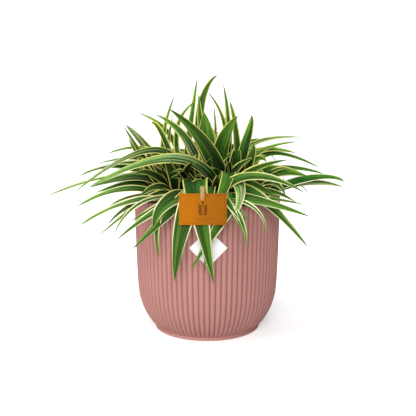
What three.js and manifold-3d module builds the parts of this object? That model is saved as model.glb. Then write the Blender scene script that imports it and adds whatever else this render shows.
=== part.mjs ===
// A potted spider plant: five leafy rosettes in a grower's pot, which stands in
// a ribbed pink pot. A small card is clipped to a leaf by a wooden peg, and a
// blank square label is stuck on the front of the pot.
// Millimetres, +Z up, the viewer stands at -Y, and the origin is the middle of
// the pot's foot on the table.

import * as THREE from 'three';
import { mergeVertices } from 'three/addons/utils/BufferGeometryUtils.js';
import Module from 'manifold-3d';

const wasm = await Module();
wasm.setup();

// Sizes of the ribbed pot
const RIM_RADIUS = 70;
const POT_HEIGHT = 128;
const RIB_COUNT = 84;
const RIB_DEPTH = 1.0;
const COLUMNS_PER_RIB = 2;
const FOOT_HEIGHT = 2.6;
const FOOT_RADIUS = 51.2;
const FOOT_GROOVE_RADIUS = 50.4;
const WALL = 2.8;
const FLOOR = 4.0;
const CORNER = 5;
const INNER_SIDES = 48;
const CUT_PAST = 5;

// The ribbed wall from the foot to the rim: [share of the height, share of the rim radius]
const WALL_PROFILE = [
  [0.026, 0.73], [0.07, 0.805], [0.13, 0.87], [0.2, 0.922], [0.3, 0.96], [0.5, 0.98], [1, 1],
];

// Sizes of the grower's pot, which stands inside on the floor
const GAP = 0.3;
const GROWER_TOP_RADIUS = 58;
const GROWER_BASE_RADIUS = 44;
const GROWER_HEIGHT = 104;
const GROWER_WALL = 1.0;
const GROWER_LIP = 2.4;
const GROWER_LIP_HEIGHT = 8;
const GROWER_LIP_SLOPE = 0.5;
const DRAIN_HOLES = 4;
const DRAIN_RADIUS = 4;
const DRAIN_CIRCLE = 28;
const DRAIN_SIDES = 8;
const ROUND_SIDES = 36;

// Sizes of the soil and of the crowns that stand in it
const SOIL_TOP = 100;
const SOIL_MOUND = 2;
const SOIL_RINGS = [[40, 0.4], [20, 0.9], [0, 1]];
const SOIL_LUMP = 0.7;
const SOIL_LUMP_WAVES = [0.35, 0.29];
const CROWN_RADIUS = 8;
const CROWN_SUNK = 12;
const CROWN_TOP = 119;
const CROWN_DOME = [[1, 0.3], [0.8, 0.7], [0.4, 1]];
const CROWN_SIDES = 10;
const LEAF_ROOT_HEIGHT = 104;
const LEAF_ROOT_OFFSET = 3;

// How every leaf is formed: its section, how it widens from the root and narrows
// to the tip, and how its arch rises
const LEAF_STEPS = 5;
const LEAF_THICKNESS = 1.2;
const LEAF_FOLD = 0.3;
const ROOT_SHARE = 0.3;
const WIDENING = 2.2;
const TAPER = 3.2;
const TAPER_ROUNDNESS = 0.9;
const LOW_REACH = 0.2;
const LOW_RISE = 0.35;
const HIGH_RISE = 0.75;

// How far a leaf rolls to face outwards, at its root and more towards its tip
const FACING = 60;
const FACING_AT_ROOT = 0.5;

// How a leaf is turned to find room
const TURN_STEP = 1.5;
const TURN_TRIES = 16;
const NEAT_TRIES = 8;

// How the leaves between the hand-placed ones are drawn
const FILL_SEED = 20260;
const FILL_LIFT = [25, 50];
const FILL_SWING = [-12, 12];
const FILL_WIDTH = [8, 12];
const FILL_REACH = 0.75;
const HANGING = { further: 45, lift: 1.6 };
const STANDING = { further: 0, lift: 0.6 };

// Sizes of the card and of the peg that clips it. The peg's heights count from just
// above the card's top edge: its jaws reach down from there, its finger ends up.
const CARD = { width: 40.5, height: 26.6, thickness: 0.6, x: -3.7, y: -78.6, top: 141.7, lean: 12.5 };
const PEG = {
  x: -0.4, width: 3.4, length: 12, half: 2.3, jaws: 7.2, jawShare: 0.6, jawSlope: 2.2, shoulder: 1.5,
  fingerShare: 1.1, fingerGap: 0.9, fingerFoot: 0.1, fingerRise: 0.6, grooveSteps: 6,
};
const SPRING = {
  radius: 0.9, wire: 0.4, level: 0.5, play: 0.15, bar: 2.2, leg: 0.9, end: 0.5,
  turns: 3, turnSteps: 8, wireSteps: 3,
};

// Size of the blank label, a square that stands on one corner
const LABEL = { side: 24, thickness: 0.5, x: 0.9, z: 92, steps: 6 };

const rad = THREE.MathUtils.degToRad;
const lerp = THREE.MathUtils.lerp;

function finish(colour, roughness, metalness = 0) {
  return new THREE.MeshStandardMaterial({ color: colour, roughness, metalness });
}

// Solids from three.js geometry and back

function solidOf(geometry) {
  const bare = geometry.index ? geometry.toNonIndexed() : geometry.clone();
  bare.deleteAttribute('normal');
  bare.deleteAttribute('uv');
  const merged = mergeVertices(bare, 1e-4);
  return new wasm.Manifold(new wasm.Mesh({
    numProp: 3,
    vertProperties: new Float32Array(merged.attributes.position.array),
    triVerts: new Uint32Array(merged.index.array),
  }));
}

function geometryOf(solid) {
  const mesh = solid.getMesh();
  const geometry = new THREE.BufferGeometry();
  geometry.setAttribute('position', new THREE.BufferAttribute(new Float32Array(mesh.vertProperties), 3));
  geometry.setIndex(new THREE.BufferAttribute(new Uint32Array(mesh.triVerts), 1));
  return geometry;
}

function latheOf(profile, sides) {
  const points = profile.map(([radius, height]) => new THREE.Vector2(radius, height));
  const lathe = new THREE.LatheGeometry(points, sides);
  lathe.rotateX(Math.PI / 2);
  return lathe;
}

// The ribbed pot

function potRadius(height) {
  const share = height / POT_HEIGHT;
  const rows = WALL_PROFILE;
  if (share <= rows[0][0]) return rows[0][1] * RIM_RADIUS;
  const upper = Math.max(1, rows.findIndex(([level]) => level >= share - 1e-9));
  const [lowLevel, lowRadius] = rows[upper - 1];
  const [highLevel, highRadius] = rows[upper];
  return RIM_RADIUS * lerp(lowRadius, highRadius, (share - lowLevel) / (highLevel - lowLevel));
}

function ribbedPot() {
  const wall = WALL_PROFILE.map(([level, radius]) => [radius * RIM_RADIUS, level * POT_HEIGHT]);
  const foot = [[0, 0], [FOOT_RADIUS, 0], [FOOT_GROOVE_RADIUS, FOOT_HEIGHT]];
  const outer = latheOf([...foot, ...wall, [0, POT_HEIGHT]], RIB_COUNT * COLUMNS_PER_RIB);
  const place = outer.attributes.position;
  for (let i = 0; i < place.count; i += 1) {
    const x = place.getX(i);
    const y = place.getY(i);
    const radius = Math.hypot(x, y);
    if (place.getZ(i) > FOOT_HEIGHT + GAP && radius > WALL) {
      const crest = Math.abs(Math.cos(Math.atan2(y, x) * RIB_COUNT / 2));
      const ribbed = (radius - RIB_DEPTH * (1 - crest)) / radius;
      place.setXY(i, x * ribbed, y * ribbed);
    }
  }
  const inside = wall.slice(1).map(([radius, height]) => [radius - WALL - RIB_DEPTH, height]);
  const mouth = inside.at(-1)[0];
  const hollow = latheOf([
    [0, FLOOR], [inside[0][0] - CORNER, FLOOR], ...inside,
    [mouth, POT_HEIGHT + CUT_PAST], [0, POT_HEIGHT + CUT_PAST],
  ], INNER_SIDES);
  return solidOf(outer).subtract(solidOf(hollow));
}

// The grower's pot and its soil

function growerRadius(height) {
  return lerp(GROWER_BASE_RADIUS, GROWER_TOP_RADIUS, (height - FLOOR) / GROWER_HEIGHT);
}

function growerPot() {
  const base = FLOOR + GAP;
  const rim = base + GROWER_HEIGHT;
  const lip = rim - GROWER_LIP_HEIGHT;
  const cup = solidOf(latheOf([
    [0, base], [growerRadius(base), base], [growerRadius(lip), lip],
    [growerRadius(lip) + GROWER_LIP, lip + GROWER_LIP_SLOPE], [growerRadius(rim) + GROWER_LIP, rim],
    [growerRadius(rim) - GROWER_WALL, rim], [growerRadius(base) - GROWER_WALL, base + GROWER_WALL],
    [0, base + GROWER_WALL],
  ], ROUND_SIDES));
  let drained = cup;
  for (let i = 0; i < DRAIN_HOLES; i += 1) {
    const turn = (i + 0.5) * 2 * Math.PI / DRAIN_HOLES;
    const drill = new THREE.CylinderGeometry(DRAIN_RADIUS, DRAIN_RADIUS, CUT_PAST, DRAIN_SIDES);
    drill.rotateX(Math.PI / 2);
    drill.translate(DRAIN_CIRCLE * Math.cos(turn), DRAIN_CIRCLE * Math.sin(turn), base + GROWER_WALL / 2);
    drained = drained.subtract(solidOf(drill));
  }
  return drained;
}

function pottingSoil(crowns) {
  const bottom = FLOOR + GAP + GROWER_WALL + GAP;
  const side = (height) => growerRadius(height) - GROWER_WALL - 2 * GAP;
  const heap = latheOf([
    [0, bottom], [side(bottom), bottom], [side(SOIL_TOP), SOIL_TOP],
    ...SOIL_RINGS.map(([radius, share]) => [radius, SOIL_TOP + share * SOIL_MOUND]),
  ], ROUND_SIDES);
  const place = heap.attributes.position;
  for (let i = 0; i < place.count; i += 1) {
    const x = place.getX(i);
    const y = place.getY(i);
    if (place.getZ(i) > SOIL_TOP && Math.hypot(x, y) > 1) {
      const lump = Math.sin(x * SOIL_LUMP_WAVES[0]) * Math.cos(y * SOIL_LUMP_WAVES[1] + 1);
      place.setZ(i, place.getZ(i) + SOIL_LUMP * lump);
    }
  }
  let soil = solidOf(heap);
  for (const { x, y } of crowns) {
    const wide = CROWN_RADIUS + 2 * GAP;
    const deep = 2 * CROWN_SUNK;
    const socket = new THREE.CylinderGeometry(wide, wide, deep, CROWN_SIDES);
    socket.rotateX(Math.PI / 2);
    socket.translate(x, y, SOIL_TOP - CROWN_SUNK - GAP + deep / 2);
    soil = soil.subtract(solidOf(socket));
  }
  return soil;
}

// The leaves. Each hand-placed leaf is one row: where its tip is (x, y, z), how high
// its arch lifts, how far out the arch reaches (1 is above the tip), how far it
// swings sideways, its width and, where it isn't left to the rule, how far it rolls.

const CROWNS = [
  {
    name: 'rosette_right', x: 24, y: -2,
    leaves: [
      [-34, -38, 212, -10, 0.2, 5, 19, 60],
      [-108, -27, 141, 55, 0.4, 35, 12, -60],
      [134, 12, 140, 25, 0.8, -20, 10],
      [133, 6, 135, 20, 0.7, 5, 10],
      [120, 36, 144, 30, 0.4, 0, 10],
      [117, 37, 149, 45, 0.4, 20, 9],
      [103, 41, 181, 25, 0.2, 35, 8],
      [89, 26, 178, 15, 0.2, 15, 8],
      [88, 20, 167, 30, 0.3, 20, 11],
      [76, -22, 165, 10, 0.2, -40, 11, -75],
      [94, -17, 149, 25, 0.4, -10, 18, 75],
      [57, -54, 134, 28, 0.3, -10, 15, 85],
      [84, -18, 124, 25, 0.5, -5, 8, 65],
      [101, 19, 128, 25, 0.9, 5, 6],
      [21, 6, 219, 5, 1.4, -10, 9, 0],
      [41, -12, 206, 15, 1.4, -9, 11, -60],
      [27, -22, 173, 25, 1.4, 0, 13, 0],
    ],
    fill: { count: 5, from: -60, to: 60, reach: [30, 60], height: [130, 165] },
  },
  {
    name: 'rosette_back', x: 2, y: 30,
    leaves: [
      [10, 18, 243, 20, 0.2, -20, 10, -30],
      [15, 8, 235, -30, 1.4, 10, 10, -30],
      [6, 22, 215, -10, 1.2, 5, 5, -25],
      [0, 14, 227, 5, 1.1, 25, 6],
    ],
    fill: { count: 10, from: 22, to: 160, reach: [45, 92], height: [85, 185] },
  },
  {
    name: 'rosette_centre', x: 4, y: 2,
    leaves: [
      [-3, 0, 208, 0, 0.7, 0, 25, 72],
      [28, -22, 205, 5, 0.2, 0, 19, -40],
      [-10, 26, 219, 5, 1.4, 35, 7],
      [-49, -5, 206, 10, 0.3, 20, 12, 80],
      [-7, 18, 225, 0, 1.0, 0, 10],
      [-20, -14, 178, -5, 0.9, -5, 12, 45],
      [-25, -27, 168, -10, 0.5, -7, 20, 40],
      [-29, -10, 179, -25, 0.7, 0, 10, 70],
      [-68, 12, 153, 20, 0.2, -25, 10],
      [-127, -17, 132, 70, 0.4, 5, 8, -60],
    ],
    fill: { count: 7, from: -180, to: 180, reach: [10, 36], height: [150, 195] },
  },
  {
    name: 'rosette_front', x: 2, y: -26,
    leaves: [
      [6, -85, 64, 85, 1.1, -20, 24],
      [-28, -84, 66, 71, 1.1, 9, 24],
      [-15, -77, 74, 64, 0.9, 44, 15],
      [3, -78, 106, 68, 0.9, 24, 14],
      [-1, -78, 71, 75, 1.3, 5, 10],
      [20, -80, 117, 48, 1.3, 13, 13],
      [31, -96, 109, 40, 0.6, -5, 9],
      [33, -81, 95, 42, 1.4, -12, 7],
      [38, -82, 117, 30, 0.7, -15, 6],
      [49, -78, 106, 40, 1.4, -20, 5],
      [-41, -82, 86, 55, 1.1, -10, 11],
      [-42, -82, 112, 36, 1.0, 8, 20, -30],
      [-65, -90, 94, 60, 0.2, 20, 18],
      [-67, -66, 115, 30, 0.6, 25, 11, -60],
      [-79, -76, 100, 40, 0.6, 25, 10],
      [-80, -84, 105, 40, 0.8, -5, 6],
      [86, -58, 139, 40, 0.6, -40, 10, 60],
      [91, -67, 119, 30, 0.4, -34, 13, 50],
      [92, -32, 124, 25, 0.2, -35, 7],
      [90, -57, 90, 60, 0.5, -22, 14, 50],
    ],
    fill: { count: 2, from: -160, to: -20, reach: [36, 50], height: [129, 142] },
  },
  {
    name: 'rosette_left', x: -22, y: -4,
    leaves: [
      [-160, 10, 125, 40, 0.4, -5, 7],
      [-118, -42, 124, 30, 0.6, 5, 9],
      [-114, -57, 109, 35, 0.7, 35, 8],
      [-90, -50, 108, 35, 0.9, 30, 7],
      [-95, -70, 101, 45, 0.4, 15, 8],
      [-89, -52, 125, 20, 0.6, -5, 7],
      [-108, -16, 131, 25, 0.4, -15, 11],
      [-114, -14, 137, 30, 0.3, 0, 14],
      [-101, 8, 156, 25, 0.3, 0, 9],
      [-107, 12, 158, 30, 0.2, -15, 9],
      [-129, 34, 143, 35, 0.5, 10, 9],
      [-98, 19, 167, 35, 0.3, 0, 8],
      [-74, -9, 184, -5, 0.8, 5, 8, -70],
      [-77, -16, 195, -15, 0.6, -5, 9, -75],
      [-78, 12, 196, 3, 0.7, -10, 13],
      [-74, 37, 207, 15, 0.2, -15, 7],
      [-55, 15, 195, 35, 0.9, 0, 7],
      [-31, 18, 224, -15, 1.3, 20, 7],
      [-33, 17, 206, -25, 1.4, 10, 7],
      [-41, -29, 173, -8, 0.6, 11, 22, 45],
      [-10, 30, 240, 0, 1.0, 5, 7],
    ],
    fill: { count: 5, from: 125, to: 235, reach: [30, 60], height: [130, 175] },
  },
];

// A repeatable stream of draws between 0 and 1
function drawsFrom(seed) {
  let state = seed >>> 0;
  return () => {
    state = (state + 0x6D2B79F5) >>> 0;
    let mixed = Math.imul(state ^ (state >>> 15), state | 1);
    mixed = (mixed + Math.imul(mixed ^ (mixed >>> 7), mixed | 61)) ^ mixed;
    return ((mixed ^ (mixed >>> 14)) >>> 0) / 4294967296;
  };
}

// Leaves between the hand-placed ones, spread evenly over the crown's own sector. A
// leaf whose tip is below the rim hangs over it, and so reaches further.
function fillRows(crown, draw) {
  const { count, from, to, reach, height } = crown.fill;
  const rows = [];
  for (let i = 0; i < count; i += 1) {
    const turn = rad(lerp(from, to, (i + 0.25 + 0.5 * draw()) / count));
    const out = lerp(...reach, draw());
    const tip = lerp(...height, draw());
    const habit = tip < POT_HEIGHT ? HANGING : STANDING;
    const lift = lerp(...FILL_LIFT, draw()) * habit.lift;
    const swing = lerp(...FILL_SWING, draw());
    const width = lerp(...FILL_WIDTH, draw());
    const far = out + habit.further;
    const x = crown.x + far * Math.cos(turn);
    const y = crown.y + far * Math.sin(turn);
    rows.push([x, y, tip, lift, FILL_REACH, swing, width]);
  }
  return rows;
}

function leafPath(crown, row, turned) {
  const [tipX, tipY, tipZ, lift, reach, swing] = row;
  const angle = Math.atan2(tipY - crown.y, tipX - crown.x) + turned;
  const out = Math.hypot(tipX - crown.x, tipY - crown.y);
  const heading = new THREE.Vector2(Math.cos(angle), Math.sin(angle));
  const point = (share, side, z) => new THREE.Vector3(
    crown.x + heading.x * out * share - heading.y * side,
    crown.y + heading.y * out * share + heading.x * side,
    z,
  );
  const rise = tipZ - LEAF_ROOT_HEIGHT;
  return {
    heading,
    curve: new THREE.CubicBezierCurve3(
      point(LEAF_ROOT_OFFSET / out, 0, LEAF_ROOT_HEIGHT),
      point(LOW_REACH, swing, LEAF_ROOT_HEIGHT + LOW_RISE * rise + lift),
      point(reach, swing, LEAF_ROOT_HEIGHT + HIGH_RISE * rise + lift),
      point(1, 0, tipZ),
    ),
  };
}

// Share of the full width along a leaf: narrow at the root, widest a third of the
// way along, then drawn out to a long point
function widthShare(s) {
  return Math.min(1, ROOT_SHARE + WIDENING * s) * (1 - s ** TAPER) ** TAPER_ROUNDNESS;
}

// A leaf is a thin folded blade with a keel: at each step it has a left edge,
// the top of the keel, a right edge and the underside of the keel.
function leafGeometry(crown, row, turned, first = 0) {
  const { heading, curve } = leafPath(crown, row, turned);
  const width = row[6];
  const level = new THREE.Vector3(-heading.y, heading.x, 0);
  const points = [];
  for (let i = first; i < LEAF_STEPS; i += 1) {
    const s = i / LEAF_STEPS;
    const centre = curve.getPoint(s);
    const along = curve.getTangent(s);
    const across = level.clone().addScaledVector(along, -level.dot(along)).normalize();
    const up = along.clone().cross(across);
    const roll = rad(row[7] ?? FACING * heading.x * lerp(FACING_AT_ROOT, 1, s));
    const side = across.clone().multiplyScalar(Math.cos(roll)).addScaledVector(up, Math.sin(roll));
    const face = up.multiplyScalar(Math.cos(roll)).addScaledVector(across, -Math.sin(roll));
    const half = 0.5 * width * widthShare(s);
    const raised = centre.clone().addScaledVector(face, LEAF_FOLD * half);
    points.push(
      raised.clone().addScaledVector(side, half),
      centre.clone().addScaledVector(face, LEAF_THICKNESS / 2),
      raised.clone().addScaledVector(side, -half),
      centre.clone().addScaledVector(face, -LEAF_THICKNESS / 2),
    );
  }
  points.push(curve.getPoint(1));
  const index = [0, 3, 1, 1, 3, 2];
  const last = 4 * (LEAF_STEPS - 1 - first);
  for (let left = 0; left < last; left += 4) {
    const [top, right, under] = [left + 1, left + 2, left + 3];
    index.push(left, top + 4, left + 4, left, top, top + 4);
    index.push(right, top + 4, top, right, right + 4, top + 4);
    index.push(left, left + 4, under + 4, left, under + 4, under);
    index.push(right, under + 4, right + 4, right, under, under + 4);
  }
  for (let k = 0; k < 4; k += 1) index.push(last + k, last + (k + 1) % 4, last + 4);
  const geometry = new THREE.BufferGeometry().setFromPoints(points);
  geometry.setIndex(index);
  return geometry;
}

// The leaf bases sheathe each other in a short, domed stem, which stands in the soil.
function crownStem(crown) {
  const foot = SOIL_TOP - CROWN_SUNK;
  const dome = CROWN_DOME.map(([share, level]) => [
    share * CROWN_RADIUS, lerp(SOIL_TOP, CROWN_TOP, level),
  ]);
  const stem = latheOf([[0, foot], [CROWN_RADIUS, foot], ...dome, [0, CROWN_TOP]], CROWN_SIDES);
  stem.translate(crown.x, crown.y, 0);
  return solidOf(stem);
}

// Whether the boxes round two solids come within a margin of each other
function near(a, b, margin) {
  const one = a.boundingBox();
  const two = b.boundingBox();
  return [0, 1, 2].every((axis) => (
    one.min[axis] < two.max[axis] + margin && two.min[axis] < one.max[axis] + margin
  ));
}

function crosses(a, b) {
  return near(a, b, 0) && !a.intersect(b).isEmpty();
}

function crowds(a, b) {
  return near(a, b, GAP) && a.minGap(b, 2 * GAP) < GAP;
}

// A leaf that would touch another rosette or a hard piece is turned a little to
// one side or the other until it is clear. Small turns are also tried to keep its
// outer part from crossing the leaves of its own rosette.
function clearLeaf(crown, row, others, own) {
  let found = null;
  for (let attempt = 0; attempt <= 2 * TURN_TRIES; attempt += 1) {
    const steps = Math.ceil(attempt / 2) * (attempt % 2 ? 1 : -1);
    const turned = rad(steps * TURN_STEP);
    const leaf = solidOf(leafGeometry(crown, row, turned));
    if (!others.some((other) => crowds(leaf, other))) {
      const outer = solidOf(leafGeometry(crown, row, turned, 1));
      const made = { leaf, outer };
      if (!own.some((other) => crosses(outer, other))) return made;
      found ??= made;
    }
    if (found && attempt >= NEAT_TRIES) break;
  }
  return found;
}

function largestPiece(solid) {
  const pieces = solid.decompose();
  return pieces.reduce((best, piece) => (piece.volume() > best.volume() ? piece : best));
}

// Every crown grows its hand-placed leaves first and then its fill leaves. A leaf
// that finds no room is left out.
function rosettes(hardPieces) {
  const grown = CROWNS.map((crown) => ({ crown, leaves: [crownStem(crown)], outers: [] }));
  const draw = drawsFrom(FILL_SEED);
  const fills = CROWNS.map((crown) => fillRows(crown, draw));
  const place = (target, row) => {
    const others = grown.filter((rosette) => rosette !== target).flatMap((rosette) => rosette.leaves);
    const made = clearLeaf(target.crown, row, [...hardPieces, ...others], target.outers);
    if (made) {
      target.leaves.push(made.leaf);
      target.outers.push(made.outer);
    }
  };
  for (const target of grown) target.crown.leaves.forEach((row) => place(target, row));
  grown.forEach((target, i) => fills[i].forEach((row) => place(target, row)));
  return grown.map(({ crown, leaves }) => ({
    name: crown.name,
    solid: largestPiece(leaves.reduce((sum, leaf) => sum.add(leaf))),
  }));
}

// The card, the peg and the label. The card leans back on the front leaves, and
// the peg leans with it, so both are drawn upright from the middle of the card's
// top edge and then leant back.

function leant(geometry) {
  geometry.rotateX(-rad(CARD.lean));
  geometry.translate(CARD.x, CARD.y, CARD.top);
  return solidOf(geometry);
}

function cardTag() {
  const card = new THREE.BoxGeometry(CARD.width, CARD.thickness, CARD.height);
  card.translate(0, 0, -CARD.height / 2);
  return leant(card);
}

// Half of the peg, drawn from the side: the jaw points down, the finger end up,
// and a round groove in the inner face holds the spring.
function pegHalf(direction) {
  const inner = CARD.thickness / 2 + GAP;
  const outer = inner + PEG.half;
  const groove = SPRING.radius + SPRING.wire / 2 + SPRING.play;
  const opening = Math.acos(inner / groove);
  const top = PEG.length - PEG.jaws;
  const side = new THREE.Shape();
  side.moveTo(inner, -PEG.jaws);
  side.lineTo(inner + PEG.half * PEG.jawShare, -PEG.jaws);
  side.lineTo(outer, -PEG.jaws + PEG.jawSlope);
  side.lineTo(outer, PEG.shoulder);
  side.lineTo(inner + PEG.half * PEG.fingerShare, top);
  side.lineTo(inner + PEG.fingerGap, top);
  side.lineTo(inner + PEG.fingerFoot, groove + PEG.fingerRise);
  side.absarc(0, SPRING.level, groove, opening, -opening, true);
  const half = new THREE.ExtrudeGeometry(side, {
    depth: PEG.width, bevelEnabled: false, curveSegments: PEG.grooveSteps,
  });
  half.translate(0, 0, -PEG.width / 2);
  half.rotateX(Math.PI / 2);
  half.rotateZ(direction * Math.PI / 2);
  return half;
}

// The peg's spring: a short wire coil across the peg, whose two ends run up the
// sides and press on the outer faces of the halves.
function pegSpring() {
  const steps = SPRING.turns * SPRING.turnSteps;
  const quarter = SPRING.turnSteps / 4;
  const reach = PEG.width / 2 + GAP + SPRING.wire;
  const outside = CARD.thickness / 2 + 2 * GAP + PEG.half + SPRING.wire / 2;
  const points = [
    new THREE.Vector3(SPRING.end, -outside, SPRING.bar),
    new THREE.Vector3(-reach, -outside, SPRING.bar),
    new THREE.Vector3(-reach, -SPRING.radius, SPRING.leg),
  ];
  for (let i = quarter; i <= steps - quarter; i += 1) {
    const angle = 2 * Math.PI * i / SPRING.turnSteps + Math.PI;
    const x = lerp(-reach, reach, i / steps);
    const z = SPRING.level - SPRING.radius * Math.sin(angle);
    points.push(new THREE.Vector3(x, SPRING.radius * Math.cos(angle), z));
  }
  points.push(
    new THREE.Vector3(reach, SPRING.radius, SPRING.leg),
    new THREE.Vector3(reach, outside, SPRING.bar),
    new THREE.Vector3(-SPRING.end, outside, SPRING.bar),
  );
  const wire = new THREE.Shape();
  wire.absarc(0, 0, SPRING.wire / 2, 0, 2 * Math.PI);
  const route = new THREE.CatmullRomCurve3(points, false, 'centripetal');
  return new THREE.ExtrudeGeometry(wire, {
    extrudePath: route, steps: points.length, curveSegments: SPRING.wireSteps, bevelEnabled: false,
  });
}

// The label lies round the front of the pot, just off the crests of its ribs.
function potLabel() {
  const { side, thickness, x, z, steps } = LABEL;
  const sheet = new THREE.BoxGeometry(side, thickness, side, steps, 1, steps);
  sheet.rotateY(Math.PI / 4);
  sheet.translate(x, 0, z);
  const place = sheet.attributes.position;
  for (let i = 0; i < place.count; i += 1) {
    const height = place.getZ(i);
    const radius = potRadius(height) + GAP + thickness / 2 - place.getY(i);
    const turn = place.getX(i) / radius;
    place.setXY(i, radius * Math.sin(turn), -radius * Math.cos(turn));
  }
  return sheet;
}

function pegPieces() {
  const aboveCard = SPRING.radius + SPRING.wire;
  const clipped = (geometry) => {
    geometry.translate(PEG.x, 0, aboveCard);
    return leant(geometry);
  };
  return { front: clipped(pegHalf(-1)), back: clipped(pegHalf(1)), spring: clipped(pegSpring()) };
}

const pot = ribbedPot();
const grower = growerPot();
const soil = pottingSoil(CROWNS);
const card = cardTag();
const peg = pegPieces();
const label = solidOf(potLabel());
const grown = rosettes([pot, grower, soil, card, peg.front, peg.back, peg.spring, label]);

const part = new THREE.Group();

function add(name, solid, material) {
  const mesh = new THREE.Mesh(geometryOf(solid), material);
  mesh.name = name;
  part.add(mesh);
}

add('decor_pot', pot, finish(0xcf9a90, 0.55));
add('nursery_pot', grower, finish(0x2b2b2c, 0.5));
add('potting_soil', soil, finish(0x3a2a20, 0.95));
for (const { name, solid } of grown) add(name, solid, finish(0x4f8a35, 0.45));
add('card_tag', card, finish(0xb9701f, 0.8));
add('peg_front', peg.front, finish(0xd9b98a, 0.7));
add('peg_back', peg.back, finish(0xd9b98a, 0.7));
add('peg_spring', peg.spring, finish(0xb8b8b8, 0.3, 1));
add('pot_label', label, finish(0xf4f4f2, 0.5));

export default part;
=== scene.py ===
import math

import bmesh
import bpy
import numpy as np
from bpy.props import FloatProperty, FloatVectorProperty, IntProperty, PointerProperty
from mathutils import Matrix, Vector, kdtree


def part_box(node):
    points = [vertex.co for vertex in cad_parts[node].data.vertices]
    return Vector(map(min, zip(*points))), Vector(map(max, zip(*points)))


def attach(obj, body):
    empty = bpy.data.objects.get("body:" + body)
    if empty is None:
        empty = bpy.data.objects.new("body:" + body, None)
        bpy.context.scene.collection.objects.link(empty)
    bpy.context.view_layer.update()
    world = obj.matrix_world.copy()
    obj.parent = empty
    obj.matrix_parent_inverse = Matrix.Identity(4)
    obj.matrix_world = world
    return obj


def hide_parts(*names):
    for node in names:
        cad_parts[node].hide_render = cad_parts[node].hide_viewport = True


bl_info = {
    "name": "Potted spider plant",
    "version": (1, 0, 0),
    "blender": (4, 5, 0),
    "location": "3D View > Sidebar > Plant",
    "description": "Spider plant with striped leaves in a ribbed pot, dressed over its solids",
    "category": "Object",
}

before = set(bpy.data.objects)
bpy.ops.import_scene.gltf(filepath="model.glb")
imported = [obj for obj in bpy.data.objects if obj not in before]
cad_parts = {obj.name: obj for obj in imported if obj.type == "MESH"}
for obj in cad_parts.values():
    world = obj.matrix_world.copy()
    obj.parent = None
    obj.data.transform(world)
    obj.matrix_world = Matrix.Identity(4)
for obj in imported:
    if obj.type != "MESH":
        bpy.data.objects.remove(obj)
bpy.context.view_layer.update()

MM = 0.001
BODY = "root"

# An edge whose faces turn by more than this, in radians, counts as sharp
SHARP = 0.9


# Sizes are in millimetres where no comment says otherwise.
# The ribbed pot. RIB_ROOM is the depth that the wall leaves for the ribs, and RIB_RUN_IN
# is the height over which they start above the foot.
POT_HEIGHT = 128
FOOT_HEIGHT = 2.6
FOOT_RADIUS = 51.2
FOOT_GROOVE_RADIUS = 50.4
WALL = 2.8
RIB_ROOM = 1.0
RIB_RUN_IN = 2.5
FLOOR = 4.0
CORNER = 5.0
GAP = 0.3

# The ribbed wall from the foot to the rim: share of the height, share of the rim radius
WALL_PROFILE = [
    (0.026, 0.73), (0.07, 0.805), (0.13, 0.87), (0.2, 0.922), (0.3, 0.96), (0.5, 0.98), (1, 1),
]

# Sizes of the grower's pot, which stands inside on the floor
GROWER_TOP_RADIUS = 58
GROWER_BASE_RADIUS = 44
GROWER_HEIGHT = 104
GROWER_WALL = 1.0
GROWER_LIP = 2.4
GROWER_LIP_HEIGHT = 8

# The soil: its level, its mound, the slow lumps of the solid and finer ones between them
SOIL_TOP = 100
SOIL_MOUND = 2
SOIL_LUMP, SOIL_LUMP_WAVES = 0.7, (0.35, 0.29)
SOIL_GRAIN, SOIL_GRAIN_WAVES = 0.25, (1.3, 1.7)

# The crowns that stand in the soil
CROWN_RADIUS = 8
CROWN_SUNK = 12
CROWN_TOP = 119
CROWN_DOME = [(1, 0.3), (0.8, 0.7), (0.4, 1)]
CROWN_RIDGE, CROWN_RIDGES, CROWN_TWIST = 0.09, 9, 0.12

# How every leaf is formed: where it starts, how it widens from the root and narrows to
# the tip, how its arch rises, how its face turns to the front and, in small steps, how
# it finds room
LEAF_ROOT_HEIGHT = 104
LEAF_ROOT_OFFSET = 3
ROOT_SHARE = 0.3
WIDENING = 2.2
TAPER = 3.2
TAPER_ROUNDNESS = 0.9
LOW_REACH = 0.2
LOW_RISE = 0.35
HIGH_RISE = 0.75
FACING = 60
FACING_AT_ROOT = 0.5
TURN_STEP = 1.5
TURN_TRIES = 16
SAME_TIP = 0.02

# How the leaves between the listed ones are drawn
FILL_SEED = 20260
FILL_LIFT = (25, 50)
FILL_SWING = (-12, 12)
FILL_WIDTH = (8, 12)
FILL_REACH = 0.75
HANGING_FURTHER, HANGING_LIFT, STANDING_LIFT = 45, 1.6, 0.6

# The card, placed by the middle of its top edge, and the peg that clips it. The peg's
# heights count from just above that edge: its jaws reach down from there.
CARD_WIDTH, CARD_HEIGHT, CARD_THICKNESS = 40.5, 26.6, 0.6
CARD_PLACE = (-3.7, -78.6, 141.7)
CARD_LEAN = 12.5
CARD_BOW = 0.12
PEG_X, PEG_WIDTH, PEG_LENGTH, PEG_HALF, PEG_JAWS = -0.4, 3.4, 12, 2.3, 7.2
PEG_BEVEL = 0.14
SPRING_RADIUS, SPRING_WIRE, SPRING_LEVEL, SPRING_BAR = 0.9, 0.4, 0.5, 2.2
SPRING_TURNS, SPRING_STEPS = 3, 24

# The blank label, a square that stands on one corner
LABEL_SIDE, LABEL_THICKNESS, LABEL_X, LABEL_Z = 24, 0.5, 0.9, 92

# How fine the pieces are: round the pots, the soil and the stems, along the leaves,
# and over the card and the label
COLUMNS_PER_RIB = 8
GROWER_COLUMNS, SOIL_COLUMNS, STEM_COLUMNS = 128, 96, 72
LEAF_STATIONS, YOUNG_STATIONS = 28, 16
CARD_GRID, LABEL_GRID = (24, 12), (24, 24)
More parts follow.
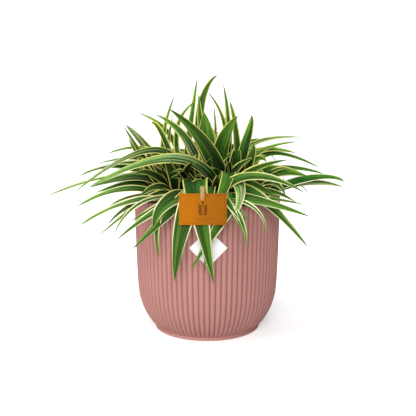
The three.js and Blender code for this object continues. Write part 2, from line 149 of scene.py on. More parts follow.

# The leaves. Each listed leaf is one row: where its tip is (x, y, z), how high
# its arch lifts, how far out the arch reaches (1 is above the tip), how far it
# swings sideways, its width and, where it isn't left to the rule, how far it rolls.
# The fill leaves between them follow a rule: how many, over which sector, how far
# out and how high.
CROWNS = [
    {
        "name": "right", "x": 24, "y": -2,
        "leaves": [
            [-34, -38, 212, -10, 0.2, 5, 19, 60],
            [-108, -27, 141, 55, 0.4, 35, 12, -60],
            [134, 12, 140, 25, 0.8, -20, 10],
            [133, 6, 135, 20, 0.7, 5, 10],
            [120, 36, 144, 30, 0.4, 0, 10],
            [117, 37, 149, 45, 0.4, 20, 9],
            [103, 41, 181, 25, 0.2, 35, 8],
            [89, 26, 178, 15, 0.2, 15, 8],
            [88, 20, 167, 30, 0.3, 20, 11],
            [76, -22, 165, 10, 0.2, -40, 11, -75],
            [94, -17, 149, 25, 0.4, -10, 18, 75],
            [57, -54, 134, 28, 0.3, -10, 15, 85],
            [84, -18, 124, 25, 0.5, -5, 8, 65],
            [101, 19, 128, 25, 0.9, 5, 6],
            [21, 6, 219, 5, 1.4, -10, 9, 0],
            [41, -12, 206, 15, 1.4, -9, 11, -60],
            [27, -22, 173, 25, 1.4, 0, 13, 0],
        ],
        "fill": {"count": 5, "sector": (-60, 60), "reach": (30, 60), "height": (130, 165)},
    },
    {
        "name": "back", "x": 2, "y": 30,
        "leaves": [
            [10, 18, 243, 20, 0.2, -20, 10, -30],
            [15, 8, 235, -30, 1.4, 10, 10, -30],
            [6, 22, 215, -10, 1.2, 5, 5, -25],
            [0, 14, 227, 5, 1.1, 25, 6],
        ],
        "fill": {"count": 10, "sector": (22, 160), "reach": (45, 92), "height": (85, 185)},
    },
    {
        "name": "centre", "x": 4, "y": 2,
        "leaves": [
            [-3, 0, 208, 0, 0.7, 0, 25, 72],
            [28, -22, 205, 5, 0.2, 0, 19, -40],
            [-10, 26, 219, 5, 1.4, 35, 7],
            [-49, -5, 206, 10, 0.3, 20, 12, 80],
            [-7, 18, 225, 0, 1.0, 0, 10],
            [-20, -14, 178, -5, 0.9, -5, 12, 45],
            [-25, -27, 168, -10, 0.5, -7, 20, 40],
            [-29, -10, 179, -25, 0.7, 0, 10, 70],
            [-68, 12, 153, 20, 0.2, -25, 10],
            [-127, -17, 132, 70, 0.4, 5, 8, -60],
        ],
        "fill": {"count": 7, "sector": (-180, 180), "reach": (10, 36), "height": (150, 195)},
    },
    {
        "name": "front", "x": 2, "y": -26,
        "leaves": [
            [6, -85, 64, 85, 1.1, -20, 24],
            [-28, -84, 66, 71, 1.1, 9, 24],
            [-15, -77, 74, 64, 0.9, 44, 15],
            [3, -78, 106, 68, 0.9, 24, 14],
            [-1, -78, 71, 75, 1.3, 5, 10],
            [20, -80, 117, 48, 1.3, 13, 13],
            [31, -96, 109, 40, 0.6, -5, 9],
            [33, -81, 95, 42, 1.4, -12, 7],
            [38, -82, 117, 30, 0.7, -15, 6],
            [49, -78, 106, 40, 1.4, -20, 5],
            [-41, -82, 86, 55, 1.1, -10, 11],
            [-42, -82, 112, 36, 1.0, 8, 20, -30],
            [-65, -90, 94, 60, 0.2, 20, 18],
            [-67, -66, 115, 30, 0.6, 25, 11, -60],
            [-79, -76, 100, 40, 0.6, 25, 10],
            [-80, -84, 105, 40, 0.8, -5, 6],
            [86, -58, 139, 40, 0.6, -40, 10, 60],
            [91, -67, 119, 30, 0.4, -34, 13, 50],
            [92, -32, 124, 25, 0.2, -35, 7],
            [90, -57, 90, 60, 0.5, -22, 14, 50],
        ],
        "fill": {"count": 2, "sector": (-160, -20), "reach": (36, 50), "height": (129, 142)},
    },
    {
        "name": "left", "x": -22, "y": -4,
        "leaves": [
            [-160, 10, 125, 40, 0.4, -5, 7],
            [-118, -42, 124, 30, 0.6, 5, 9],
            [-114, -57, 109, 35, 0.7, 35, 8],
            [-90, -50, 108, 35, 0.9, 30, 7],
            [-95, -70, 101, 45, 0.4, 15, 8],
            [-89, -52, 125, 20, 0.6, -5, 7],
            [-108, -16, 131, 25, 0.4, -15, 11],
            [-114, -14, 137, 30, 0.3, 0, 14],
            [-101, 8, 156, 25, 0.3, 0, 9],
            [-107, 12, 158, 30, 0.2, -15, 9],
            [-129, 34, 143, 35, 0.5, 10, 9],
            [-98, 19, 167, 35, 0.3, 0, 8],
            [-74, -9, 184, -5, 0.8, 5, 8, -70],
            [-77, -16, 195, -15, 0.6, -5, 9, -75],
            [-78, 12, 196, 3, 0.7, -10, 13],
            [-74, 37, 207, 15, 0.2, -15, 7],
            [-55, 15, 195, 35, 0.9, 0, 7],
            [-31, 18, 224, -15, 1.3, 20, 7],
            [-33, 17, 206, -25, 1.4, 10, 7],
            [-41, -29, 173, -8, 0.6, 11, 22, 45],
            [-10, 30, 240, 0, 1.0, 5, 7],
        ],
        "fill": {"count": 5, "sector": (125, 235), "reach": (30, 60), "height": (130, 175)},
    },
]

# A blade that passes behind the card keeps this far off it, and further by this share
# of its half width, which fades out past the card's edges
CARD_ROOM, CARD_ROOM_SHARE, CARD_ROOM_FADE = 0.8, 0.35, 0.8

# The print on the card: a border, two short rules (level, reach) and a sprig
PRINT_SOFT = 0.06
BORDER_INSET, BORDER_HALF = 1.7, 0.09
CARD_RULES, RULE_HALF = [(-21.4, 9.0), (-22.9, 5.0)], 0.14
STALK_HALF, STALK_ENDS = 0.16, (-19.0, -9.5)
LEAFLET_HALF, LEAFLET_TILT, LEAFLET_SIDE = (1.9, 0.75), 50, 2.3
TOP_LEAFLET, LEAFLET_LEVELS = -8.0, (-10.6, -12.8, -15.0, -17.2)

# Painted shade: how the pink is painted darker and redder in the grooves between the ribs, where shade
# falls
GROOVE_PAINTED_SHADE = (0.86, 0.66, 0.60)

# The seed of what only this script draws: young leaves, and each leaf's own tint
LOOK_SEED = 77

# Which listed leaves have clear pale stripes, counted from 0 in each crown
PALE_LEAVES = {"right": (1, 3, 6), "centre": (3, 8, 9), "front": (5, 15), "left": (7, 14)}

# Young leaves, which only the dressed model has: how far out they reach, how high
# their tips rise and how much lower the furthest ones are, how wide they are, how
# they arch and swing, and the line at the front that none of them passes
YOUNG_REACH = (18, 62)
YOUNG_START = 14
YOUNG_RISE = (26, 88)
YOUNG_DROOP = 0.45
YOUNG_WIDTH = (6.0, 13.0)
YOUNG_LIFT = (4, 24)
YOUNG_ARCH = (0.5, 1.2)
YOUNG_SWING = (-14, 14)
YOUNG_FRONT = -58

# Painted shade: the middle of the clump, where the leaves are painted darker, and how far that shade
# reaches, in metres
CLUMP_SHADE_CENTRE = (-0.012, -0.004, 0.118)
CLUMP_SHADE_REACH = (0.130, 0.098, 0.105)

# Painted shade on the margins: they are painted yellow round this point, as cream looks in shade, and cream
# further out, in metres
MARGIN_SHADE_MIDDLE = (0.0, -0.01, 0.175)
MARGIN_SHADE_REACH = (0.062, 0.095)


# Settings that a user would change

class PotSettings(bpy.types.PropertyGroup):
    rib_count: IntProperty(name="Ribs", description="Ribs round the pot", default=84, min=12)
    rib_depth: FloatProperty(
        name="Rib depth", description="From crest to groove", default=1.0 * MM, unit="LENGTH")
    colour: FloatVectorProperty(
        name="Pot colour", description="Matte pink of the plastic", subtype="COLOR", size=3,
        default=(0.478, 0.228, 0.200))


class LeafSettings(bpy.types.PropertyGroup):
    fold: FloatProperty(name="Fold", description="How far the edges stand up from the keel", default=0.32)
    body: FloatProperty(name="Body", description="Thickness as a share of the half width", default=0.06)
    wave: FloatProperty(
        name="Edge wave", description="Height of the soft waves along the edges", default=0.4 * MM,
        unit="LENGTH")
    margin: FloatProperty(
        name="Margin", description="Width of the cream margin", default=0.82 * MM, unit="LENGTH")
    young: IntProperty(
        name="Young leaves", description="Narrow young leaves in each crown", default=14, min=0)
    # The deep green near the crown is partly the leaf's own colour and partly painted shade, nearly black
    # where the leaves crowd
    dark: FloatVectorProperty(
        name="Deep green", description="Colour near the crown", subtype="COLOR", size=3,
        default=(0.006, 0.034, 0.008))
    middle: FloatVectorProperty(
        name="Green", description="Colour of the open blade", subtype="COLOR", size=3,
        default=(0.028, 0.160, 0.012))
    bright: FloatVectorProperty(
        name="Bright green", description="Colour near the tip", subtype="COLOR", size=3,
        default=(0.130, 0.350, 0.022))
    pale: FloatVectorProperty(
        name="Pale stripe", description="Colour of the pale lengthwise stripes", subtype="COLOR", size=3,
        default=(0.34, 0.48, 0.12))
    cream: FloatVectorProperty(
        name="Cream", description="Colour of the margins in the light", subtype="COLOR", size=3,
        default=(0.94, 0.92, 0.56))
    # The yellow is the cream of the margins painted as it looks in shade
    yellow: FloatVectorProperty(
        name="Yellow", description="Colour of the margins deep in the clump", subtype="COLOR", size=3,
        default=(0.74, 0.71, 0.17))


class TagSettings(bpy.types.PropertyGroup):
    card: FloatVectorProperty(
        name="Card colour", description="Brown of the card", subtype="COLOR", size=3,
        default=(0.47, 0.145, 0.001))
    ink: FloatVectorProperty(
        name="Ink", description="Print on the card", subtype="COLOR", size=3,
        default=(0.060, 0.020, 0.004))
    wood: FloatVectorProperty(
        name="Peg wood", description="Pale wood of the peg", subtype="COLOR", size=3,
        default=(0.42, 0.24, 0.075))


class StageSettings(bpy.types.PropertyGroup):
    floor: FloatVectorProperty(
        name="Floor", description="Pale floor and backdrop", subtype="COLOR", size=3,
        default=(0.88, 0.88, 0.88))
    glow: FloatProperty(
        name="Floor glow", description="How much the floor glows for the camera near the pot",
        default=0.45)
    key_power: FloatProperty(name="Key light", description="Power of the soft key light", default=20.0)
    sky: FloatProperty(name="Sky", description="Strength of the even white light", default=0.18)


class PlantSettings(bpy.types.PropertyGroup):
    pot: PointerProperty(type=PotSettings)
    leaf: PointerProperty(type=LeafSettings)
    tag: PointerProperty(type=TagSettings)
    stage: PointerProperty(type=StageSettings)


# Node helpers

def add_node(tree, kind, inputs=None, **settings):
    """Adds a node, sets its own options, then sets or links its inputs by name or number."""
    made = tree.nodes.new(kind)
    for option, value in settings.items():
        setattr(made, option, value)
    for key, value in (inputs or {}).items():
        socket = made.inputs[key]
        if isinstance(value, bpy.types.NodeSocket):
            tree.links.new(value, socket)
        else:
            socket.default_value = value
    return made


def math_node(tree, operation, *values, clamp=False):
    made = add_node(tree, "ShaderNodeMath", dict(enumerate(values)), operation=operation)
    made.use_clamp = clamp
    return made.outputs[0]


def smooth_step(tree, value, low, high):
    made = add_node(tree, "ShaderNodeMapRange", {"Value": value, "From Min": low, "From Max": high})
    made.interpolation_type = "SMOOTHSTEP"
    return made.outputs["Result"]


def mix_colour(tree, share, first, second, blend="MIX"):
    made = add_node(
        tree, "ShaderNodeMix", {0: share, 6: first, 7: second}, data_type="RGBA", blend_type=blend)
    return made.outputs[2]


def toned(tree, colour, tone):
    """A colour made darker or lighter by a grey tone."""
    return mix_colour(tree, 1.0, colour, vector_of(tree, tone, tone, tone), "MULTIPLY")


def rgba(colour):
    return (*colour, 1.0)


def attribute(tree, name):
    return add_node(tree, "ShaderNodeAttribute", attribute_name=name).outputs["Fac"]


def vector_math(tree, operation, first, second=None, output=0):
    inputs = {0: first} if second is None else {0: first, 1: second}
    return add_node(tree, "ShaderNodeVectorMath", inputs, operation=operation).outputs[output]


def scaled_vector(tree, vector, share):
    return add_node(
        tree, "ShaderNodeVectorMath", {0: vector, "Scale": share}, operation="SCALE").outputs[0]


def object_place(tree):
    return add_node(tree, "ShaderNodeTexCoord").outputs["Object"]


def axes_of(tree, vector):
    return add_node(tree, "ShaderNodeSeparateXYZ", {0: vector}).outputs


def noise(tree, place, scale, detail, **more):
    inputs = {"Vector": place, "Scale": scale, "Detail": detail, **more}
    return add_node(tree, "ShaderNodeTexNoise", inputs).outputs["Fac"]


def vector_of(tree, x, y, z):
    return add_node(tree, "ShaderNodeCombineXYZ", {"X": x, "Y": y, "Z": z}).outputs[0]


def new_group(name, kind, inputs, outputs):
    """A node group with named sockets: inputs and outputs are (name, socket type, default)."""
    tree = bpy.data.node_groups.new(name, kind)
    for label, socket_type, default in inputs:
        socket = tree.interface.new_socket(label, in_out="INPUT", socket_type=socket_type)
        if default is not None:
            socket.default_value = default
    for label, socket_type in outputs:
        tree.interface.new_socket(label, in_out="OUTPUT", socket_type=socket_type)
    return tree, tree.nodes.new("NodeGroupInput").outputs, tree.nodes.new("NodeGroupOutput").inputs


def end_with_material(tree, geometry, material, out):
    """Ends a tree of geometry nodes: what is placed becomes real mesh and gets its material."""
    real = add_node(tree, "GeometryNodeRealizeInstances", {0: geometry}).outputs[0]
    dressed = add_node(tree, "GeometryNodeSetMaterial", {"Geometry": real, "Material": material})
    tree.links.new(dressed.outputs[0], out["Geometry"])


def sweep(tree, route, section, **more):
    """Sweeps a section along every polyline of a route, with closed ends."""
    inputs = {"Curve": route, "Profile Curve": section, "Fill Caps": True, **more}
    return add_node(tree, "GeometryNodeCurveToMesh", inputs).outputs[0]


def named(tree, name, kind="FLOAT"):
    return add_node(tree, "GeometryNodeInputNamedAttribute", {"Name": name}, data_type=kind).outputs[0]


def stored(tree, geometry, name, value):
    return add_node(tree, "GeometryNodeStoreNamedAttribute", {
        "Geometry": geometry, "Name": name, "Value": value}, data_type="FLOAT", domain="POINT").outputs[0]


def circle(tree, points, radius):
    return add_node(tree, "GeometryNodeCurvePrimitiveCircle", {
        "Resolution": points, "Radius": radius}, mode="RADIUS").outputs["Curve"]


# Mesh helpers

def linked(name, data):
    shaped = bpy.data.objects.new(name, data)
    bpy.context.scene.collection.objects.link(shaped)
    return shaped


def mesh_object(name, points, faces, smooth=True):
    mesh = bpy.data.meshes.new(name)
    mesh.from_pydata([tuple(p) for p in points], [], faces)
    mesh.validate()
    if smooth:
        mesh.shade_smooth()
    else:
        mesh.shade_flat()
    return linked(name, mesh)


def line_object(name, points, edges):
    mesh = bpy.data.meshes.new(name)
    mesh.from_pydata([tuple(p) for p in points], edges, [])
    return linked(name, mesh)


def outward(shaped, bevel=None):
    """Merges doubles, turns every face of a closed piece outwards and eases its sharp edges."""
    work = bmesh.new()
    work.from_mesh(shaped.data)
    bmesh.ops.remove_doubles(work, verts=work.verts, dist=1e-7)
    bmesh.ops.recalc_face_normals(work, faces=work.faces)
    if bevel:
        sharp = [edge for edge in work.edges if edge.calc_face_angle(0) > SHARP]
        bmesh.ops.bevel(work, geom=sharp, offset=bevel, segments=2, affect="EDGES", profile=0.6)
    work.to_mesh(shaped.data)
    work.free()


def put_attribute(mesh, name, kind, values):
    made = mesh.attributes.new(name, kind, "POINT")
    field = "vector" if kind == "FLOAT_VECTOR" else "value"
    made.data.foreach_set(field, np.asarray(values, dtype=np.float32).ravel())


def revolve(name, profile, columns):
    """A closed piece turned from a profile of (radius, height) in mm that starts and ends on the axis."""
    inner = profile[1:-1]
    rows = len(inner)
    points = [(0, 0, profile[0][1] * MM)]
    for k in range(columns):
        turn = 2 * math.pi * k / columns
        points += [(r * MM * math.cos(turn), r * MM * math.sin(turn), z * MM) for r, z in inner]
    points.append((0, 0, profile[-1][1] * MM))
    first, last = 0, len(points) - 1
    faces = []
    for k in range(columns):
        a, b = 1 + k * rows, 1 + (k + 1) % columns * rows
        faces.append((first, b, a))
        faces += [(a + i, b + i, b + i + 1, a + i + 1) for i in range(rows - 1)]
        faces.append((last, a + rows - 1, b + rows - 1))
    shaped = mesh_object(name, points, faces)
    outward(shaped)
    return shaped


def smooth_profile(points, steps):
    """Points along a smooth curve through the given (radius, height) points."""
    ends = [points[0], *points, points[-1]]
    curve = []
    for before, start, end, after in zip(ends, ends[1:], ends[2:], ends[3:]):
        for step in range(steps):
            t = step / steps
            curve.append(tuple(
                0.5 * (2 * b + (c - a) * t + (2 * a - 5 * b + 4 * c - d) * t ** 2
                       + (3 * b - a - 3 * c + d) * t ** 3)
                for a, b, c, d in zip(before, start, end, after)
            ))
    return [*curve, points[-1]]


def run_geometry_nodes(shaped, tree, **values):
    """Runs a node tree over a piece, keeps the result as a plain mesh and drops the modifier."""
    modifier = shaped.modifiers.new("Build", "NODES")
    modifier.node_group = tree
    for socket in tree.interface.items_tree:
        if socket.item_type == "SOCKET" and socket.in_out == "INPUT" and socket.name in values:
            modifier[socket.identifier] = values[socket.name]
    bpy.context.view_layer.update()
    graph = bpy.context.evaluated_depsgraph_get()
    made = bpy.data.meshes.new_from_object(shaped.evaluated_get(graph), depsgraph=graph)
    shaped.modifiers.clear()
    made.name = shaped.name
    shaped.data = made


def stand_for(shaped, slot, *nodes, material=None):
    """Lets a finished piece ride on the body in place of its solids. The slot argument is not used."""
    if material is not None:
        shaped.data.materials.clear()
        shaped.data.materials.append(material)
    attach(shaped, BODY)
    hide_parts(*nodes)


# Materials

def speckle_group():
    """Fine, uneven colour, roughness and grain, shared by every piece but the leaves."""
    if "Speckle" in bpy.data.node_groups:
        return bpy.data.node_groups["Speckle"]
    tree, given, out = new_group("Speckle", "ShaderNodeTree", [
        ("Color", "NodeSocketColor", (0.5, 0.5, 0.5, 1)),
        ("Stretch", "NodeSocketVector", (1, 1, 1)),
        ("Scale", "NodeSocketFloat", 400.0),
        ("Variation", "NodeSocketFloat", 0.1),
        ("Roughness", "NodeSocketFloat", 0.5),
        ("Spread", "NodeSocketFloat", 0.1),
    ], [("Color", "NodeSocketColor"), ("Roughness", "NodeSocketFloat"), ("Height", "NodeSocketFloat")])
    stretched = vector_math(tree, "MULTIPLY", object_place(tree), given["Stretch"])
    fine = noise(tree, stretched, given["Scale"], 4.0)
    broad = noise(tree, stretched, math_node(tree, "MULTIPLY", given["Scale"], 0.06), 2.0)
    swing = math_node(tree, "SUBTRACT", math_node(tree, "ADD", fine, broad), 1.0)
    shade = math_node(tree, "MULTIPLY_ADD", swing, given["Variation"], 1.0)
    rough = math_node(tree, "MULTIPLY_ADD", swing, given["Spread"], given["Roughness"])
    tree.links.new(toned(tree, given["Color"], shade), out["Color"])
    tree.links.new(rough, out["Roughness"])
    tree.links.new(fine, out["Height"])
    return tree


def new_material(name):
    made = bpy.data.materials.new(name)
    made.use_nodes = True
    tree = made.node_tree
    tree.nodes.clear()
    shader = tree.nodes.new("ShaderNodeBsdfPrincipled")
    out = tree.nodes.new("ShaderNodeOutputMaterial")
    tree.links.new(shader.outputs[0], out.inputs["Surface"])
    return made, tree, shader


def speckle(tree, colour, scale, variation, roughness, spread, stretch=(1, 1, 1)):
    return add_node(tree, "ShaderNodeGroup", {
        "Color": rgba(colour), "Stretch": stretch, "Scale": scale, "Variation": variation,
        "Roughness": roughness, "Spread": spread}, node_tree=speckle_group()).outputs


def bump_into(tree, shader, height, distance, normal=None):
    bump = add_node(tree, "ShaderNodeBump", {"Height": height, "Distance": distance})
    if normal is not None:
        tree.links.new(normal, bump.inputs["Normal"])
    tree.links.new(bump.outputs[0], shader.inputs["Normal"])


def plain_finish(
        name, colour, scale, variation, roughness, spread, grain, stretch=(1, 1, 1), metallic=0.0):
    """A finish with one body colour, uneven in colour, roughness and grain."""
    made, tree, shader = new_material(name)
    surface = speckle(tree, colour, scale, variation, roughness, spread, stretch)
    tree.links.new(surface["Color"], shader.inputs["Base Color"])
    tree.links.new(surface["Roughness"], shader.inputs["Roughness"])
    shader.inputs["Metallic"].default_value = metallic
    bump_into(tree, shader, surface["Height"], grain)
    return made


def pot_material(settings):
    """Matte pink plastic: painted a little lighter on the crests of the ribs, partly as wear and partly as
    a painted sheen, and painted shade in the grooves.
    """
    made, tree, shader = new_material("pink_plastic")
    surface = speckle(tree, settings.colour, scale=900.0, variation=0.10, roughness=0.52, spread=0.10)
    crest = attribute(tree, "crest")
    # Painted shade: the grooves are painted a darker, redder pink
    groove_shade = [share * c for share, c in zip(GROOVE_PAINTED_SHADE, settings.colour)]
    shaded = mix_colour(tree, smooth_step(tree, crest, 0.0, 0.6), rgba(groove_shade), surface["Color"])
    # Partly wear and partly a painted sheen: the crests of the ribs are painted a little lighter
    worn = [min(1.0, 1.12 * c + 0.02) for c in settings.colour]
    crest_wear_and_sheen = math_node(tree, "MULTIPLY", smooth_step(tree, crest, 0.85, 1.0), 0.35)
    tree.links.new(mix_colour(tree, crest_wear_and_sheen, shaded, rgba(worn)), shader.inputs["Base Color"])
    tree.links.new(surface["Roughness"], shader.inputs["Roughness"])
    shader.inputs["Specular IOR Level"].default_value = 0.06
    flutes = add_node(tree, "ShaderNodeBump", {"Height": crest, "Distance": 0.0009})
    bump_into(tree, shader, surface["Height"], 0.00004, flutes.outputs[0])
    return made


def openness_group():
    """How far out of the clump a point lies: 0 among the leaf bases, 1 at the outer leaves."""
    if "Openness" in bpy.data.node_groups:
        return bpy.data.node_groups["Openness"]
    tree, given, out = new_group("Openness", "ShaderNodeTree", [
        ("Centre", "NodeSocketVector", (0, 0, 0.11)),
        ("Reach", "NodeSocketVector", (0.1, 0.1, 0.1)),
        ("From", "NodeSocketFloat", 0.25),
        ("To", "NodeSocketFloat", 0.85),
    ], [("Openness", "NodeSocketFloat")])
    away = vector_math(tree, "SUBTRACT", object_place(tree), given["Centre"])
    reach = vector_math(tree, "LENGTH", vector_math(tree, "DIVIDE", away, given["Reach"]), output="Value")
    tree.links.new(smooth_step(tree, reach, given["From"], given["To"]), out["Openness"])
    return tree


def openness(tree):
    return add_node(tree, "ShaderNodeGroup", {
        "Centre": CLUMP_SHADE_CENTRE, "Reach": CLUMP_SHADE_REACH}, node_tree=openness_group()).outputs[0]


def rising(tree, value, low, rise):
    """low where the value is 0, and higher by rise where it is 1."""
    return math_node(tree, "MULTIPLY_ADD", value, rise, low)


def leaf_lanes(tree, across_count, along_count, detail):
    """Noise drawn out along each leaf, so that it makes lengthwise streaks."""
    lane = vector_of(
        tree, math_node(tree, "MULTIPLY", attribute(tree, "across"), across_count),
        math_node(tree, "MULTIPLY", attribute(tree, "along"), along_count),
        math_node(tree, "MULTIPLY", attribute(tree, "leaf"), 37.0))
    return noise(tree, lane, 1.0, detail, Roughness=0.6)


def leaf_green(tree, settings, broad, streak, fine):
    """Nearly black green in the clump, partly painted shade, to bright green at the tip, with pale and dark
    streaks.
    """
    across = attribute(tree, "across")
    leaf = attribute(tree, "leaf")
    pale = attribute(tree, "pale")
    mottle = leaf_lanes(tree, 1.2, 14.0, 2.0)
    reach = rising(tree, mottle, math_node(tree, "SUBTRACT", attribute(tree, "along"), 0.15), 0.3)
    green = mix_colour(
        tree, smooth_step(tree, reach, 0.0, 0.55), rgba(settings.dark), rgba(settings.middle))
    green = mix_colour(tree, smooth_step(tree, reach, 0.5, 1.0), green, rgba(settings.bright))

    lit_lanes = math_node(tree, "ADD", rising(tree, broad, 0.0, 0.6), rising(tree, streak, 0.0, 0.4))
    stripes = math_node(
        tree, "MULTIPLY", rising(tree, pale, 0.42, 0.5), smooth_step(tree, lit_lanes, 0.47, 0.62))
    whitish = [0.4 * a + 0.6 * b for a, b in zip(settings.pale, settings.cream)]
    green = mix_colour(tree, stripes, green, mix_colour(tree, pale, rgba(settings.pale), rgba(whitish)))

    # Painted light: one half of each folded blade is painted lighter and the other darker, as if lit from
    # one side
    flip = math_node(tree, "SIGN", math_node(tree, "SUBTRACT", leaf, 0.5))
    lit_half = smooth_step(tree, math_node(tree, "MULTIPLY", across, flip), -0.08, 0.08)
    own_tint = math_node(tree, "FRACT", math_node(tree, "MULTIPLY", leaf, 7.0))
    # Painted shade: the leaves are painted darker below 155 mm, darkest at 100 mm and lower
    raised = smooth_step(tree, axes_of(tree, object_place(tree))["Z"], 0.10, 0.155)
    # Painted shade: the leaves are darker in the middle of the clump and on the young leaves, which stand
    # deep inside it; the streaks, the fine grain and each leaf's own tint are real colour
    for value, low, rise in (
        (lit_half, 0.58, 0.5), (streak, 0.0, 2.0), (fine, 0.27, 1.5), (own_tint, 0.7, 0.55),
        (openness(tree), 0.18, 0.82), (attribute(tree, "young"), 1.0, -0.45), (raised, 0.58, 0.42),
    ):
        green = toned(tree, green, rising(tree, value, low, rise))
    # Painted shade: the crease along the keel is painted darker, towards near black
    keel = math_node(
        tree, "SUBTRACT", 1.0, smooth_step(tree, math_node(tree, "ABSOLUTE", across), 0.0, 0.12))
    keel_crease_shade = [0.4 * c for c in settings.dark]
    green = mix_colour(tree, math_node(tree, "MULTIPLY", keel, 0.4), green, rgba(keel_crease_shade))
    upper_side = smooth_step(tree, attribute(tree, "upper"), -0.3, 0.3)
    return toned(tree, green, rising(tree, upper_side, 0.75, 0.25))


def leaf_cream(tree, settings):
    """The margins' colour: painted yellow in the middle of the clump as shade, cream outside it, green at
    the tip.
    """
    middle = vector_math(tree, "DISTANCE", object_place(tree), MARGIN_SHADE_MIDDLE, "Value")
    cream = mix_colour(
        tree, smooth_step(tree, middle, *MARGIN_SHADE_REACH), rgba(settings.yellow), rgba(settings.cream))
    # Painted shade: the margins are darker in the clump and on the young leaves
    for value, low, rise in ((openness(tree), 0.9, 0.1), (attribute(tree, "young"), 1.0, -0.2)):
        cream = toned(tree, cream, rising(tree, value, low, rise))
    tip_green = [0.5 * a + 0.5 * b for a, b in zip(settings.bright, settings.pale)]
    return mix_colour(
        tree, smooth_step(tree, attribute(tree, "along"), 0.75, 1.0), cream, rgba(tip_green))


def leaf_margins(tree, broad):
    """1 on a leaf's margins, whose inner edge wavers and draws back at the tip."""
    half_way = math_node(tree, "ABSOLUTE", attribute(tree, "across"))
    wavering = math_node(tree, "ADD", half_way, rising(tree, broad, -0.11, 0.22))
    fading = math_node(tree, "MULTIPLY", smooth_step(tree, attribute(tree, "along"), 0.86, 1.0), 0.25)
    inner_edge = math_node(tree, "ADD", attribute(tree, "margin"), fading)
    return smooth_step(tree, math_node(tree, "SUBTRACT", wavering, inner_edge), -0.05, 0.05)


def leaf_material(settings):
    """Striped leaf: painted dark in the clump as shade, brighter to the tip, with streaks and cream
    margins.
    """
    made, tree, shader = new_material("striped_leaf")
    broad = leaf_lanes(tree, 3.0, 1.5, 2.0)
    streak = leaf_lanes(tree, 11.0, 2.0, 4.0)
    fine = leaf_lanes(tree, 34.0, 3.0, 2.0)
    green = leaf_green(tree, settings, broad, streak, fine)
    blade = mix_colour(tree, leaf_margins(tree, broad), green, leaf_cream(tree, settings))
    tree.links.new(blade, shader.inputs["Base Color"])
    tree.links.new(rising(tree, fine, 0.38, 0.25), shader.inputs["Roughness"])
    shader.inputs["Specular IOR Level"].default_value = 0.12
    bump_into(tree, shader, fine, 0.00025)
    return made


def stem_material(settings):
    """The sheathed leaf bases: pale at the soil, green above, ribbed lengthwise."""
    made, tree, shader = new_material("leaf_bases")
    place = object_place(tree)
    ribs = noise(tree, vector_math(tree, "MULTIPLY", place, (1.0, 1.0, 0.15)), 900.0, 3.0)
    greening = smooth_step(tree, axes_of(tree, place)["Z"], SOIL_TOP * MM, CROWN_TOP * MM)
    colour = mix_colour(tree, greening, rgba(settings.pale), rgba(settings.dark))
    tree.links.new(toned(tree, colour, rising(tree, ribs, 0.1, 0.5)), shader.inputs["Base Color"])
    tree.links.new(rising(tree, ribs, 0.35, 0.3), shader.inputs["Roughness"])
    bump_into(tree, shader, ribs, 0.0004)
    return made


def line_mask(tree, value, centre, half, soft):
    """1 where value lies within half of centre, with soft ends."""
    away = math_node(tree, "ABSOLUTE", math_node(tree, "SUBTRACT", value, centre))
    return math_node(tree, "SUBTRACT", 1.0, smooth_step(tree, away, half - soft, half + soft))


def line_print(tree, value, level, half, other, low, high):
    """A straight printed line: value lies near level, and other between low and high."""
    line = line_mask(tree, value, level, half, PRINT_SOFT)
    stretch = line_mask(tree, other, (low + high) / 2, (high - low) / 2, PRINT_SOFT)
    return math_node(tree, "MULTIPLY", line, stretch)


def leaflet_print(tree, x, z, centre_x, centre_z, tilt):
    """A small printed oval of the sprig, tilted by some degrees."""
    sine, cosine = math.sin(math.radians(tilt)), math.cos(math.radians(tilt))
    dx = math_node(tree, "SUBTRACT", x, centre_x)
    dz = math_node(tree, "SUBTRACT", z, centre_z)
    length = math_node(
        tree, "ADD", math_node(tree, "MULTIPLY", dx, sine), math_node(tree, "MULTIPLY", dz, cosine))
    width = math_node(
        tree, "SUBTRACT", math_node(tree, "MULTIPLY", dx, cosine), math_node(tree, "MULTIPLY", dz, sine))
    squares = [
        math_node(tree, "POWER", math_node(tree, "DIVIDE", math_node(tree, "ABSOLUTE", reach), half), 2.0)
        for reach, half in zip((length, width), LEAFLET_HALF)
    ]
    return math_node(tree, "SUBTRACT", 1.0, smooth_step(tree, math_node(tree, "ADD", *squares), 0.85, 1.1))


